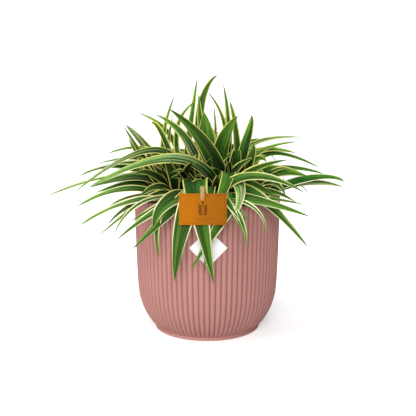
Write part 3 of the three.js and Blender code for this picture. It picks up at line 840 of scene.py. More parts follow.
def card_material(settings):
    """Brown card with a generic print: a sprig, a border line and two short rules."""
    made, tree, shader = new_material("brown_card")
    x = attribute(tree, "sheet_x")
    z = attribute(tree, "sheet_z")
    surface = speckle(
        tree, settings.card, scale=2500.0, variation=0.22, roughness=0.72, spread=0.15,
        stretch=(1.0, 1.0, 0.35))
    right, low, high = CARD_WIDTH / 2 - BORDER_INSET, BORDER_INSET - CARD_HEIGHT, -BORDER_INSET
    marks = [line_print(tree, x, side, BORDER_HALF, z, low, high) for side in (-right, right)]
    marks += [line_print(tree, z, level, BORDER_HALF, x, -right, right) for level in (low, high)]
    marks += [line_print(tree, z, level, RULE_HALF, x, -reach, reach) for level, reach in CARD_RULES]
    marks.append(line_print(tree, x, 0.0, STALK_HALF, z, *STALK_ENDS))
    marks.append(leaflet_print(tree, x, z, 0.0, TOP_LEAFLET, 0))
    for level in LEAFLET_LEVELS:
        for side in (-1, 1):
            marks.append(leaflet_print(tree, x, z, side * LEAFLET_SIDE, level, side * LEAFLET_TILT))
    printed = marks[0]
    for mark in marks[1:]:
        printed = math_node(tree, "MAXIMUM", printed, mark)
    worn = smooth_step(tree, surface["Height"], 0.25, 0.5)
    printed = math_node(tree, "MULTIPLY", printed, rising(tree, worn, 0.6, 0.3))
    on_front = smooth_step(tree, attribute(tree, "front"), 0.6, 0.9)
    printed = math_node(tree, "MULTIPLY", printed, on_front)
    # The card is painted darker towards its right edge
    to_right = smooth_step(tree, x, -CARD_WIDTH / 2, CARD_WIDTH / 2)
    darker_to_right = toned(tree, surface["Color"], rising(tree, to_right, 1.0, -0.3))
    tree.links.new(mix_colour(tree, printed, darker_to_right, rgba(settings.ink)), shader.inputs["Base Color"])
    tree.links.new(surface["Roughness"], shader.inputs["Roughness"])
    shader.inputs["Specular IOR Level"].default_value = 0.1
    bump_into(tree, shader, surface["Height"], 0.00005)
    return made


# The ribbed pot

def flute_tree(material):
    """Geometry nodes that press rounded ribs with narrow grooves into a turned wall."""
    tree, given, out = new_group("Flutes", "GeometryNodeTree", [
        ("Geometry", "NodeSocketGeometry", None),
        ("Ribs", "NodeSocketInt", 84),
        ("Depth", "NodeSocketFloat", 0.001),
        ("Start height", "NodeSocketFloat", 0.0026),
        ("Run in", "NodeSocketFloat", 0.002),
    ], [("Geometry", "NodeSocketGeometry")])
    place = tree.nodes.new("GeometryNodeInputPosition").outputs[0]
    axes = axes_of(tree, place)
    turn = math_node(tree, "ARCTAN2", axes["Y"], axes["X"])
    turns = math_node(tree, "DIVIDE", math_node(tree, "MULTIPLY", turn, given["Ribs"]), 2 * math.pi)
    beside = math_node(tree, "MULTIPLY", math_node(tree, "WRAP", turns, 0.5, -0.5), 2.0)
    fall = math_node(tree, "POWER", math_node(tree, "ABSOLUTE", beside), 2.4)
    dome = math_node(tree, "SQRT", math_node(
        tree, "SUBTRACT", 1.0, math_node(tree, "MULTIPLY", fall, 0.98), clamp=True))
    below_crest = math_node(tree, "SUBTRACT", dome, 1.0)
    above = math_node(tree, "SUBTRACT", axes["Z"], given["Start height"])
    run_in = math_node(tree, "DIVIDE", above, given["Run in"], clamp=True)
    share = math_node(tree, "MULTIPLY", named(tree, "outer"), run_in)
    drop = math_node(tree, "MULTIPLY", math_node(tree, "MULTIPLY", below_crest, given["Depth"]), share)
    away = vector_math(tree, "NORMALIZE", vector_math(tree, "MULTIPLY", place, (1, 1, 0)))
    crest = math_node(tree, "ADD", math_node(tree, "MULTIPLY", below_crest, share), 1.0)
    marked = stored(tree, given["Geometry"], "crest", crest)
    moved = add_node(tree, "GeometryNodeSetPosition", {
        "Geometry": marked, "Offset": scaled_vector(tree, away, drop)}).outputs[0]
    end_with_material(tree, moved, material, out)
    return tree


def pot_radius(height, rim_radius, pot_height):
    levels = [level * pot_height for level, _ in WALL_PROFILE]
    radii = [radius * rim_radius for _, radius in WALL_PROFILE]
    return float(np.interp(height, levels, radii))


class PLANT_OT_cover_pot(bpy.types.Operator):
    """Makes the ribbed pink pot"""
    bl_idname = "plant.cover_pot"
    bl_label = "Cover pot"

    def execute(self, context):
        settings = context.scene.spider_plant.pot
        low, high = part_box("decor_pot")
        rim_radius = (high[0] - low[0]) / 2 / MM
        pot_height = (high[2] - low[2]) / MM
        wall = [(r * rim_radius, z * pot_height) for z, r in WALL_PROFILE]
        outer = [
            (0, 0), (FOOT_RADIUS - 0.9, 0), (FOOT_RADIUS - 0.25, 0.25), (FOOT_RADIUS, 0.9),
            (FOOT_RADIUS - 0.1, 1.7), (FOOT_GROOVE_RADIUS + 0.15, FOOT_HEIGHT - 0.3),
            (FOOT_GROOVE_RADIUS, FOOT_HEIGHT),
            *smooth_profile(wall, 6)[:-1], (rim_radius, pot_height - 0.7),
            (rim_radius - 0.15, pot_height - 0.25), (rim_radius - 0.6, pot_height),
        ]
        lip = WALL + RIB_ROOM
        mouth = rim_radius - lip
        inside = [(r - lip, z) for r, z in smooth_profile(wall[1:], 3)[:-1]]
        inner = [
            (mouth + 0.5, pot_height), (mouth + 0.1, pot_height - 0.2), (mouth, pot_height - 0.8),
            *reversed(inside), (inside[0][0] - CORNER, FLOOR), (0, FLOOR),
        ]
        pot = revolve("ribbed_pot", [*outer, *inner], settings.rib_count * COLUMNS_PER_RIB)
        ridged = []
        for place in (vertex.co / MM for vertex in pot.data.vertices):
            groove = pot_radius(place.z, rim_radius, pot_height) - RIB_ROOM
            ridged.append(1.0 if math.hypot(place.x, place.y) > groove else 0.0)
        put_attribute(pot.data, "outer", "FLOAT", ridged)
        run_geometry_nodes(pot, flute_tree(pot_material(settings)), **{
            "Ribs": settings.rib_count, "Depth": settings.rib_depth, "Start height": FOOT_HEIGHT * MM,
            "Run in": RIB_RUN_IN * MM})
        stand_for(pot, "pot", "decor_pot")
        return {"FINISHED"}


# The grower's pot and the soil

def grower_radius(height):
    share = (height - FLOOR) / GROWER_HEIGHT
    return GROWER_BASE_RADIUS + (GROWER_TOP_RADIUS - GROWER_BASE_RADIUS) * share


class PLANT_OT_grower_pot(bpy.types.Operator):
    """Makes the thin dark pot that stands inside the ribbed one"""
    bl_idname = "plant.grower_pot"
    bl_label = "Grower's pot"

    def execute(self, context):
        base = FLOOR + GAP
        rim = base + GROWER_HEIGHT
        lip = rim - GROWER_LIP_HEIGHT
        out = grower_radius(rim) + GROWER_LIP
        profile = [
            (0, base), (grower_radius(base) - 1, base), (grower_radius(base), base + 1),
            (grower_radius(lip), lip), (grower_radius(lip) + GROWER_LIP - 0.4, lip + 0.3),
            (grower_radius(lip) + GROWER_LIP, lip + 0.8), (out, rim - 0.6), (out - 0.5, rim),
            (grower_radius(rim) - GROWER_WALL + 0.4, rim), (grower_radius(rim) - GROWER_WALL, rim - 0.6),
            (grower_radius(base) - GROWER_WALL, base + GROWER_WALL), (0, base + GROWER_WALL),
        ]
        pot = revolve("grower_pot", profile, GROWER_COLUMNS)
        finish = plain_finish(
            "dark_plastic", (0.018, 0.018, 0.019), scale=700.0, variation=0.3, roughness=0.48, spread=0.2,
            grain=0.00003)
        stand_for(pot, "grower_pot", "nursery_pot", material=finish)
        return {"FINISHED"}


def crumb_tree(material):
    """Geometry nodes that strew crumbs of peat and bark over the soil."""
    tree, given, out = new_group("Crumbs", "GeometryNodeTree", [
        ("Geometry", "NodeSocketGeometry", None),
        ("Density", "NodeSocketFloat", 90000.0),
        ("Smallest", "NodeSocketFloat", 0.0004),
        ("Largest", "NodeSocketFloat", 0.0016),
        ("Lowest height", "NodeSocketFloat", 0.09),
        ("Seed", "NodeSocketInt", 5),
    ], [("Geometry", "NodeSocketGeometry")])
    height = axes_of(tree, tree.nodes.new("GeometryNodeInputPosition").outputs[0])["Z"]
    on_top = add_node(
        tree, "FunctionNodeCompare", {0: height, 1: given["Lowest height"]}, data_type="FLOAT",
        operation="GREATER_THAN").outputs[0]
    strewn = add_node(tree, "GeometryNodeDistributePointsOnFaces", {
        "Mesh": given["Geometry"], "Selection": on_top, "Density": given["Density"], "Seed": given["Seed"]})
    crumb = add_node(tree, "GeometryNodeMeshIcoSphere", {"Radius": 1.0, "Subdivisions": 2})
    bumpy = add_node(tree, "ShaderNodeTexNoise", {"Scale": 1.1, "Detail": 1.0}).outputs["Color"]
    rough = add_node(tree, "GeometryNodeSetPosition", {
        "Geometry": crumb.outputs[0], "Offset": vector_math(tree, "SUBTRACT", bumpy, (0.5, 0.5, 0.5))})
    turn = add_node(tree, "FunctionNodeRandomValue", {
        0: (0, 0, 0), 1: (6.3, 6.3, 6.3), "Seed": given["Seed"]}, data_type="FLOAT_VECTOR").outputs[0]
    size = add_node(tree, "FunctionNodeRandomValue", {
        2: given["Smallest"], 3: given["Largest"], "Seed": math_node(tree, "ADD", given["Seed"], 1)},
        data_type="FLOAT").outputs[1]
    flat = vector_of(tree, size, size, math_node(tree, "MULTIPLY", size, 0.6))
    placed = add_node(tree, "GeometryNodeInstanceOnPoints", {
        "Points": strewn.outputs["Points"], "Instance": rough.outputs[0], "Rotation": turn, "Scale": flat})
    both = tree.nodes.new("GeometryNodeJoinGeometry")
    tree.links.new(given["Geometry"], both.inputs[0])
    tree.links.new(placed.outputs[0], both.inputs[0])
    end_with_material(tree, both.outputs[0], material, out)
    return tree


class PLANT_OT_soil(bpy.types.Operator):
    """Makes the potting soil with its crumbs"""
    bl_idname = "plant.soil"
    bl_label = "Soil"

    def execute(self, context):
        bottom = FLOOR + GAP + GROWER_WALL + GAP
        side = grower_radius(SOIL_TOP) - GROWER_WALL - 2 * GAP
        top = [(side - 1 - 3 * i, SOIL_TOP + SOIL_MOUND * min(1, 0.15 + i / 12)) for i in range(17)]
        profile = [
            (0, bottom), (grower_radius(bottom) - GROWER_WALL - 2 * GAP, bottom), (side, SOIL_TOP - 0.6),
            *top, (0, SOIL_TOP + SOIL_MOUND),
        ]
        soil = revolve("potting_mix", profile, SOIL_COLUMNS)
        for vertex in soil.data.vertices:
            if vertex.co.z > (SOIL_TOP - 0.1) * MM:
                x, y = vertex.co.x / MM, vertex.co.y / MM
                slow_x, slow_y = SOIL_LUMP_WAVES
                quick_x, quick_y = SOIL_GRAIN_WAVES
                vertex.co.z += SOIL_LUMP * MM * math.sin(x * slow_x) * math.cos(y * slow_y + 1)
                vertex.co.z += SOIL_GRAIN * MM * math.sin(x * quick_x + y) * math.cos(y * quick_y)
        finish = plain_finish(
            "peat", (0.030, 0.019, 0.012), scale=900.0, variation=0.9, roughness=0.9, spread=0.1,
            grain=0.0006)
        run_geometry_nodes(soil, crumb_tree(finish), **{"Lowest height": (SOIL_TOP - 0.5) * MM})
        stand_for(soil, "soil", "potting_soil")
        return {"FINISHED"}


# The leaves

def draws_from(seed):
    """A repeatable stream of draws between 0 and 1, the same as in the solids."""
    word = 0xFFFFFFFF
    state = seed & word

    def draw():
        nonlocal state
        state = (state + 0x6D2B79F5) & word
        mixed = ((state ^ (state >> 15)) * (state | 1)) & word
        mixed ^= (mixed + (mixed ^ (mixed >> 7)) * (mixed | 61)) & word
        return ((mixed ^ (mixed >> 14)) & word) / 4294967296

    return draw


def between(low, high, share):
    return low + (high - low) * share


def fill_rows(crown, draw):
    """Leaves between the listed ones, spread evenly over the crown's own sector."""
    fill = crown["fill"]
    rows = []
    for i in range(fill["count"]):
        turn = math.radians(between(*fill["sector"], (i + 0.25 + 0.5 * draw()) / fill["count"]))
        out = between(*fill["reach"], draw())
        tip = between(*fill["height"], draw())
        hangs = tip < POT_HEIGHT
        lift = between(*FILL_LIFT, draw()) * (HANGING_LIFT if hangs else STANDING_LIFT)
        swing = between(*FILL_SWING, draw())
        width = between(*FILL_WIDTH, draw())
        far = out + (HANGING_FURTHER if hangs else 0)
        rows.append([
            crown["x"] + far * math.cos(turn), crown["y"] + far * math.sin(turn), tip, lift, FILL_REACH,
            swing, width])
    return rows


def leaf_path(crown, row, turned):
    """Heading of a leaf and the four control points of its midrib, in mm."""
    tip_x, tip_y, tip_z, lift, reach, swing = row[:6]
    angle = math.atan2(tip_y - crown["y"], tip_x - crown["x"]) + turned
    out = math.hypot(tip_x - crown["x"], tip_y - crown["y"])
    heading = (math.cos(angle), math.sin(angle))

    def point(share, side, z):
        return np.array([
            crown["x"] + heading[0] * out * share - heading[1] * side,
            crown["y"] + heading[1] * out * share + heading[0] * side, z])

    rise = tip_z - LEAF_ROOT_HEIGHT
    return heading, [
        point(LEAF_ROOT_OFFSET / out, 0, LEAF_ROOT_HEIGHT),
        point(LOW_REACH, swing, LEAF_ROOT_HEIGHT + LOW_RISE * rise + lift),
        point(reach, swing, LEAF_ROOT_HEIGHT + HIGH_RISE * rise + lift),
        point(1, 0, tip_z),
    ]


def width_share(s):
    """Share of the full width: narrow at the root, widest near the middle, drawn out to a point."""
    return min(1, ROOT_SHARE + WIDENING * s) * max(0, 1 - s ** TAPER) ** TAPER_ROUNDNESS


def behind_card(centre, half):
    """Moves a point of a midrib back where its blade would reach through the card."""
    x, y, z = centre - np.array(CARD_PLACE)
    sine, cosine = math.sin(math.radians(CARD_LEAN)), math.cos(math.radians(CARD_LEAN))
    behind, above = y * cosine - z * sine, y * sine + z * cosine
    beyond = max(0.0, abs(x) - CARD_WIDTH / 2, -CARD_HEIGHT - above, above)
    room = CARD_ROOM + CARD_ROOM_SHARE * half - CARD_ROOM_FADE * beyond
    behind = max(behind, CARD_THICKNESS / 2 + room)
    return np.array(CARD_PLACE) + (x, behind * cosine + above * sine, above * cosine - behind * sine)


def midrib(crown, row, turned, stations):
    """Each station of a leaf: its place, sideways direction, face, half width and share of the length."""
    heading, (a, b, c, d) = leaf_path(crown, row, turned)
    level = np.array([-heading[1], heading[0], 0.0])
    made = []
    for i in range(stations + 1):
        s = i / stations
        t = 1 - s
        centre = t ** 3 * a + 3 * t * t * s * b + 3 * t * s * s * c + s ** 3 * d
        along = 3 * t * t * (b - a) + 6 * t * s * (c - b) + 3 * s * s * (d - c)
        along /= np.linalg.norm(along)
        across = level - along * level.dot(along)
        across /= np.linalg.norm(across)
        up = np.cross(along, across)
        degrees = row[7] if len(row) > 7 else FACING * heading[0] * between(FACING_AT_ROOT, 1, s)
        roll = math.radians(degrees)
        side = across * math.cos(roll) + up * math.sin(roll)
        face = up * math.cos(roll) - across * math.sin(roll)
        half = max(0.5 * row[6] * width_share(s), 0.03)
        made.append((behind_card(centre, half) * MM, side, face, half * MM, s))
    return made


def turned_as_built(crown, row, tips):
    """The small turn that keeps a leaf clear of its neighbours, read from where the solid's tip is."""
    for attempt in range(2 * TURN_TRIES + 1):
        steps = math.ceil(attempt / 2) * (1 if attempt % 2 else -1)
        turned = math.radians(steps * TURN_STEP)
        tip = Vector(leaf_path(crown, row, turned)[1][3] * MM)
        if tips.find(tip)[2] < SAME_TIP * MM:
            return turned
    return None


def blade_tree(material):
    """Geometry nodes that sweep a thin folded section along every midrib and wave its edges."""
    tree, given, out = new_group("Leaf blades", "GeometryNodeTree", [
        ("Geometry", "NodeSocketGeometry", None),
        ("Fold", "NodeSocketFloat", 0.3),
        ("Body", "NodeSocketFloat", 0.05),
        ("Wave", "NodeSocketFloat", 0.0003),
        ("Wave count", "NodeSocketFloat", 3.0),
        ("Section points", "NodeSocketInt", 18),
    ], [("Geometry", "NodeSocketGeometry")])

    ring = circle(tree, given["Section points"], 1.0)
    axes = axes_of(tree, tree.nodes.new("GeometryNodeInputPosition").outputs[0])
    ring = stored(tree, stored(tree, ring, "across", axes["X"]), "upper", axes["Y"])
    raised = math_node(tree, "MULTIPLY", math_node(
        tree, "POWER", math_node(tree, "ABSOLUTE", axes["X"]), 1.25), given["Fold"])
    section_y = math_node(tree, "MULTIPLY_ADD", axes["Y"], given["Body"], raised)
    section = add_node(tree, "GeometryNodeSetPosition", {
        "Geometry": ring, "Position": vector_of(tree, axes["X"], section_y, 0.0)}).outputs[0]

    ribs = add_node(tree, "GeometryNodeMeshToCurve", {0: given["Geometry"]}).outputs[0]
    ribs = add_node(tree, "GeometryNodeSetCurveNormal", {
        "Curve": ribs, "Normal": named(tree, "side", "FLOAT_VECTOR")}, mode="FREE").outputs[0]
    blades = sweep(tree, ribs, section, Scale=named(tree, "half_width"))

    phase = math_node(tree, "MULTIPLY", named(tree, "leaf"), 40.0)
    beat = math_node(tree, "MULTIPLY", math_node(
        tree, "MULTIPLY", named(tree, "along"), given["Wave count"]), 2 * math.pi)
    across = named(tree, "across")
    ripple = math_node(tree, "SINE", math_node(
        tree, "ADD", math_node(tree, "ADD", beat, phase), math_node(tree, "MULTIPLY", across, 1.2)))
    reach = math_node(tree, "POWER", math_node(tree, "ABSOLUTE", across), 2.0)
    lift = math_node(tree, "MULTIPLY", math_node(tree, "MULTIPLY", ripple, reach), given["Wave"])
    waved = add_node(tree, "GeometryNodeSetPosition", {
        "Geometry": blades, "Offset": scaled_vector(tree, named(tree, "face", "FLOAT_VECTOR"), lift)})
    smooth = add_node(tree, "GeometryNodeSetShadeSmooth", {"Geometry": waved.outputs[0]}).outputs[0]
    end_with_material(tree, smooth, material, out)
    return tree


def young_rows(crown, count, draw):
    """Narrow young leaves all round a crown, each as a row of the same kind as the listed ones."""
    rows = []
    for i in range(count):
        turn = 2 * math.pi * (i + draw()) / count
        out = between(*YOUNG_REACH, draw())
        if crown["y"] + out * math.sin(turn) < YOUNG_FRONT:
            out = (YOUNG_FRONT - crown["y"]) / math.sin(turn)
        rise = between(*YOUNG_RISE, draw()) * (1 - YOUNG_DROOP * out / YOUNG_REACH[1])
        lift, swing = between(*YOUNG_LIFT, draw()), between(*YOUNG_SWING, draw())
        width = between(*YOUNG_WIDTH, draw())
        tip = LEAF_ROOT_HEIGHT + YOUNG_START + rise
        rows.append([
            crown["x"] + out * math.cos(turn), crown["y"] + out * math.sin(turn), tip, lift,
            between(*YOUNG_ARCH, draw()), swing, width])
    return rows


def crown_stem(crown, material):
    """The short domed stem of sheathed leaf bases, with a ridge for each of the outer leaves."""
    foot = SOIL_TOP - CROWN_SUNK
    dome = [(share * CROWN_RADIUS, between(SOIL_TOP, CROWN_TOP, level)) for share, level in CROWN_DOME]
    side = smooth_profile([(CROWN_RADIUS, SOIL_TOP - 4), *dome], 5)
    profile = [(0, foot), (CROWN_RADIUS, foot), *side, (0, CROWN_TOP)]
    stem = revolve("stem_" + crown["name"], profile, STEM_COLUMNS)
    for vertex in stem.data.vertices:
        turn = math.atan2(vertex.co.y, vertex.co.x)
        ridge = abs(math.sin(CROWN_RIDGES / 2 * turn + vertex.co.z / MM * CROWN_TWIST))
        pressed = 1 - CROWN_RIDGE * ridge
        vertex.co.x = vertex.co.x * pressed + crown["x"] * MM
        vertex.co.y = vertex.co.y * pressed + crown["y"] * MM
    stem.data.materials.append(material)
    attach(stem, BODY)


def midrib_object(name, leaves, margin, draw):
    """One polyline per leaf, with the directions, widths and draws that the blades need."""
    points, edges = [], []
    values = {key: [] for key in ("half_width", "along", "leaf", "margin", "pale", "young")}
    directions = {"side": [], "face": []}
    for stations, pale, young in leaves:
        own = draw()
        rim = margin * between(0.7, 1.5, draw())
        start = len(points)
        for centre, side, face, half, s in stations:
            points.append(centre)
            directions["side"].append(side)
            directions["face"].append(face)
            inner_edge = min(0.9, max(0.45, 1 - rim / half))
            for key, value in zip(values, (half, s, own, inner_edge, pale, young)):
                values[key].append(value)
        edges += [(k, k + 1) for k in range(start, len(points) - 1)]
    shaped = line_object(name, points, edges)
    for key, column in values.items():
        put_attribute(shaped.data, key, "FLOAT", column)
    for key, column in directions.items():
        put_attribute(shaped.data, key, "FLOAT_VECTOR", column)
    return shaped


def tips_of(node):
    """Every corner of a solid, so that the nearest one to a leaf's tip can be found."""
    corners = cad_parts[node].data.vertices
    tips = kdtree.KDTree(len(corners))
    for i, corner in enumerate(corners):
        tips.insert(corner.co, i)
    tips.balance()
    return tips


class PLANT_OT_rosettes(bpy.types.Operator):
    """Makes the leaves of every crown, placed as in the solids and much finer"""
    bl_idname = "plant.rosettes"
    bl_label = "Rosettes"

    def execute(self, context):
        settings = context.scene.spider_plant.leaf
        tree = blade_tree(leaf_material(settings))
        stems = stem_material(settings)
        fill_draw = draws_from(FILL_SEED)
        fills = [fill_rows(crown, fill_draw) for crown in CROWNS]
        look_draw = draws_from(LOOK_SEED)
        for crown, fill in zip(CROWNS, fills):
            node = "rosette_" + crown["name"]
            tips = tips_of(node)
            leaves = []
            for i, row in enumerate([*crown["leaves"], *fill]):
                turned = turned_as_built(crown, row, tips)
                if turned is None:
                    continue
                pale = 1.0 if i in PALE_LEAVES.get(crown["name"], ()) else 0.0
                leaves.append((midrib(crown, row, turned, LEAF_STATIONS), pale, 0.0))
            for row in young_rows(crown, settings.young, look_draw):
                leaves.append((midrib(crown, row, 0.0, YOUNG_STATIONS), 0.0, 1.0))
            shaped = midrib_object("leaves_" + crown["name"], leaves, settings.margin, look_draw)
            run_geometry_nodes(shaped, tree, **{
                "Fold": settings.fold, "Body": settings.body, "Wave": settings.wave})
            outward(shaped)
            stand_for(shaped, "leaf", node)
            crown_stem(crown, stems)
        return {"FINISHED"}


# The card, the peg and the label

def lean_matrix():
    return Matrix.Translation(Vector(CARD_PLACE) * MM) @ Matrix.Rotation(-math.radians(CARD_LEAN), 4, "X")


def sheet_box(name, width, thickness, height, grid, bend):
    """A thin upright sheet of card or paper as a closed grid. bend(x, y, z) gives a point's place in mm."""
    across, up = grid
    points, attributes = [], []
    for side in (-0.5, 0.5):
        for j in range(up + 1):
            for i in range(across + 1):
                x, z = (i / across - 0.5) * width, (j / up - 0.5) * height
                points.append(Vector(bend(x, side * thickness, z)) * MM)
                attributes.append((x, z, 0.5 - side))
    row, layer = across + 1, (across + 1) * (up + 1)
    faces = []
    for k in (j * row + i for j in range(up) for i in range(across)):
        faces.append((k, k + 1, k + row + 1, k + row))
        faces.append((layer + k, layer + k + row, layer + k + row + 1, layer + k + 1))
    rim = list(range(across))
    rim += [across + j * row for j in range(up)]
    rim += [up * row + across - i for i in range(across)]
    rim += [(up - j) * row for j in range(up)]
    faces += [(k, layer + k, layer + after, after) for k, after in zip(rim, rim[1:] + rim[:1])]
    shaped = mesh_object(name, points, faces, smooth=False)
    for key, values in zip(("sheet_x", "sheet_z", "front"), zip(*attributes)):
        put_attribute(shaped.data, key, "FLOAT", values)
    outward(shaped)
    return shaped


class PLANT_OT_card(bpy.types.Operator):
    """Makes the small brown card, leaning back on the front leaves"""
    bl_idname = "plant.card"
    bl_label = "Card"

    def execute(self, context):
        lean = lean_matrix()

        def bend(x, y, z):
            bow = CARD_BOW * math.cos(math.pi * x / CARD_WIDTH)
            return lean @ (Vector((x, y - bow, z - CARD_HEIGHT / 2)) * MM) / MM

        card = sheet_box("brown_card", CARD_WIDTH, CARD_THICKNESS, CARD_HEIGHT, CARD_GRID, bend)
        for value in card.data.attributes["sheet_z"].data:
            value.value -= CARD_HEIGHT / 2
        stand_for(card, "card", "card_tag", material=card_material(context.scene.spider_plant.tag))
        return {"FINISHED"}


def peg_outline():
    """Side view of one half of the peg: (distance from the middle, height), jaw at the bottom."""
    inner = CARD_THICKNESS / 2 + GAP
    groove = SPRING_RADIUS + SPRING_WIRE / 2 + 0.15
    top = PEG_LENGTH - PEG_JAWS
    opening = math.acos(inner / groove)
    arc = [
        (groove * math.cos(turn), SPRING_LEVEL + groove * math.sin(turn))
        for turn in (opening * (1 - 2 * k / 10) for k in range(11))
    ]
    return [
        (inner, -PEG_JAWS), (inner + PEG_HALF * 0.6, -PEG_JAWS), (inner + PEG_HALF, -PEG_JAWS + 2.2),
        (inner + PEG_HALF, 1.5), (inner + PEG_HALF * 1.1, top), (inner + 0.9, top),
        (inner + 0.1, groove + 0.6), *arc,
    ]


class PLANT_OT_peg(bpy.types.Operator):
    """Makes the two wooden halves of the peg and its wire spring"""
    bl_idname = "plant.peg"
    bl_label = "Peg"

    def execute(self, context):
        settings = context.scene.spider_plant.tag
        wood = plain_finish(
            "pale_wood", settings.wood, scale=1500.0, variation=0.45, roughness=0.62, spread=0.15,
            grain=0.00006, stretch=(1.0, 1.0, 0.12))
        centre = Vector((PEG_X, 0, SPRING_RADIUS + SPRING_WIRE)) * MM
        lean = lean_matrix()
        outline = peg_outline()
        for direction, half in ((-1, "front"), (1, "back")):
            points = []
            for side in (-PEG_WIDTH / 2, PEG_WIDTH / 2):
                points += [lean @ (centre + Vector((side, direction * y, z)) * MM) for y, z in outline]
            count = len(outline)
            faces = [tuple(range(count)), tuple(range(2 * count - 1, count - 1, -1))]
            faces += [(k, (k + 1) % count, count + (k + 1) % count, count + k) for k in range(count)]
            piece = mesh_object("peg_half_" + half, points, faces, smooth=False)
            outward(piece, bevel=PEG_BEVEL * MM)
            stand_for(piece, "peg_wood", "peg_" + half, material=wood)
        self.wire(centre, lean)
        return {"FINISHED"}

    def wire(self, centre, lean):
        """The spring: a bar along each half's outside, joined by the coil between the halves."""
        reach = PEG_WIDTH / 2 + GAP + SPRING_WIRE
        outside = CARD_THICKNESS / 2 + GAP + PEG_HALF + GAP + SPRING_WIRE / 2
        bar = [(0.5, SPRING_BAR), (0.3 - reach, SPRING_BAR)]
        route = [(x, -outside, z) for x, z in bar]
        route += [(-reach, 0.4 - outside, SPRING_BAR - 0.1), (-reach, -SPRING_RADIUS, 0.9)]
        quarter, last = SPRING_STEPS // 4, SPRING_TURNS * SPRING_STEPS
        for i in range(quarter, last - quarter + 1):
            angle = 2 * math.pi * i / SPRING_STEPS + math.pi
            route.append((
                between(-reach, reach, i / last), SPRING_RADIUS * math.cos(angle),
                SPRING_LEVEL - SPRING_RADIUS * math.sin(angle)))
        route += [(reach, SPRING_RADIUS, 0.9), (reach, outside - 0.4, SPRING_BAR - 0.1)]
        route += [(-x, outside, z) for x, z in reversed(bar)]
        points = [lean @ (centre + Vector(place) * MM) for place in route]
        spring = line_object("spring_wire", points, [(k, k + 1) for k in range(len(points) - 1)])
        steel = plain_finish(
            "spring_steel", (0.60, 0.60, 0.62), scale=2500.0, variation=0.15, roughness=0.32, spread=0.2,
            grain=0.00001, metallic=1.0)
        run_geometry_nodes(spring, wire_tree(steel), **{"Radius": SPRING_WIRE / 2 * MM})
        outward(spring)
        stand_for(spring, "spring_wire", "peg_spring")


def wire_tree(material):
    """Geometry nodes that sweep a round section along a wire's route."""
    tree, given, out = new_group("Wire", "GeometryNodeTree", [
        ("Geometry", "NodeSocketGeometry", None),
        ("Radius", "NodeSocketFloat", 0.0002),
        ("Sides", "NodeSocketInt", 10),
    ], [("Geometry", "NodeSocketGeometry")])
    route = add_node(tree, "GeometryNodeMeshToCurve", {0: given["Geometry"]}).outputs[0]
    swept = sweep(tree, route, circle(tree, given["Sides"], given["Radius"]))
    smooth = add_node(tree, "GeometryNodeSetShadeSmooth", {"Geometry": swept}).outputs[0]
    end_with_material(tree, smooth, material, out)
    return tree


class PLANT_OT_label(bpy.types.Operator):
    """Makes the blank square label on the front of the pot"""
    bl_idname = "plant.label"
    bl_label = "Label"

    def execute(self, context):
        low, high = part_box("decor_pot")
        rim_radius, pot_height = (high[0] - low[0]) / 2 / MM, (high[2] - low[2]) / MM

        def bend(x, y, z):
            half = math.sqrt(0.5)
            flat_x, height = (x - z) * half + LABEL_X, (x + z) * half + LABEL_Z
            radius = pot_radius(height, rim_radius, pot_height) + GAP + LABEL_THICKNESS / 2 - y
            return radius * math.sin(flat_x / radius), -radius * math.cos(flat_x / radius), height

        label = sheet_box("blank_label", LABEL_SIDE, LABEL_THICKNESS, LABEL_SIDE, LABEL_GRID, bend)
        paper = plain_finish(
            "white_paper", (0.96, 0.96, 0.96), scale=1800.0, variation=0.03, roughness=0.42, spread=0.08,
            grain=0.00001)
        stand_for(label, "label", "pot_label", material=paper)
        return {"FINISHED"}


# The stage: floor, lights and camera

FOCAL_LENGTH = 59.0
CAMERA_PLACE = (0.67, -650.0, 226.5)
CAMERA_PITCH = 9.65

# The soft lights, in metres: name, place, size and share of the key light's power
LIT_POINT = (0, 0, 0.1)
LIGHTS = [
    ("key", (-0.10, -1.50, 0.90), 1.0, 1.0),
    ("left", (-1.4, -0.75, 0.75), 0.9, 0.5),
    ("top", (-0.2, 0.2, 1.5), 1.2, 0.35),
]

# How far from the middle of the pot's foot the floor's glow rises to pure white
GLOW_REACH = (0.09, 0.22)


def area_light(name, place, size, power):
    lamp = bpy.data.lights.new(name, "AREA")
    lamp.shape = "DISK"
    lamp.size = size
    lamp.energy = power
    shaped = linked(name, lamp)
    shaped.location = place
    shaped.rotation_euler = (Vector(LIT_POINT) - Vector(place)).to_track_quat("-Z", "Y").to_euler()


def floor_sheet():
    """A wide level floor that sweeps up behind the plant."""
    half_width, front, bend_start, bend_radius, top = 4.0, -3.0, 1.6, 0.8, 3.5
    profile = [(front, 0.0), (bend_start, 0.0)]
    profile += [
        (bend_start + bend_radius * math.sin(turn), bend_radius * (1 - math.cos(turn)))
        for turn in (math.pi / 2 * k / 16 for k in range(1, 17))
    ]
    profile.append((bend_start + bend_radius, top))
    points = [(side, y, z) for y, z in profile for side in (-half_width, half_width)]
    faces = [(2 * k, 2 * k + 1, 2 * k + 3, 2 * k + 2) for k in range(len(profile) - 1)]
    return mesh_object("floor", points, faces)


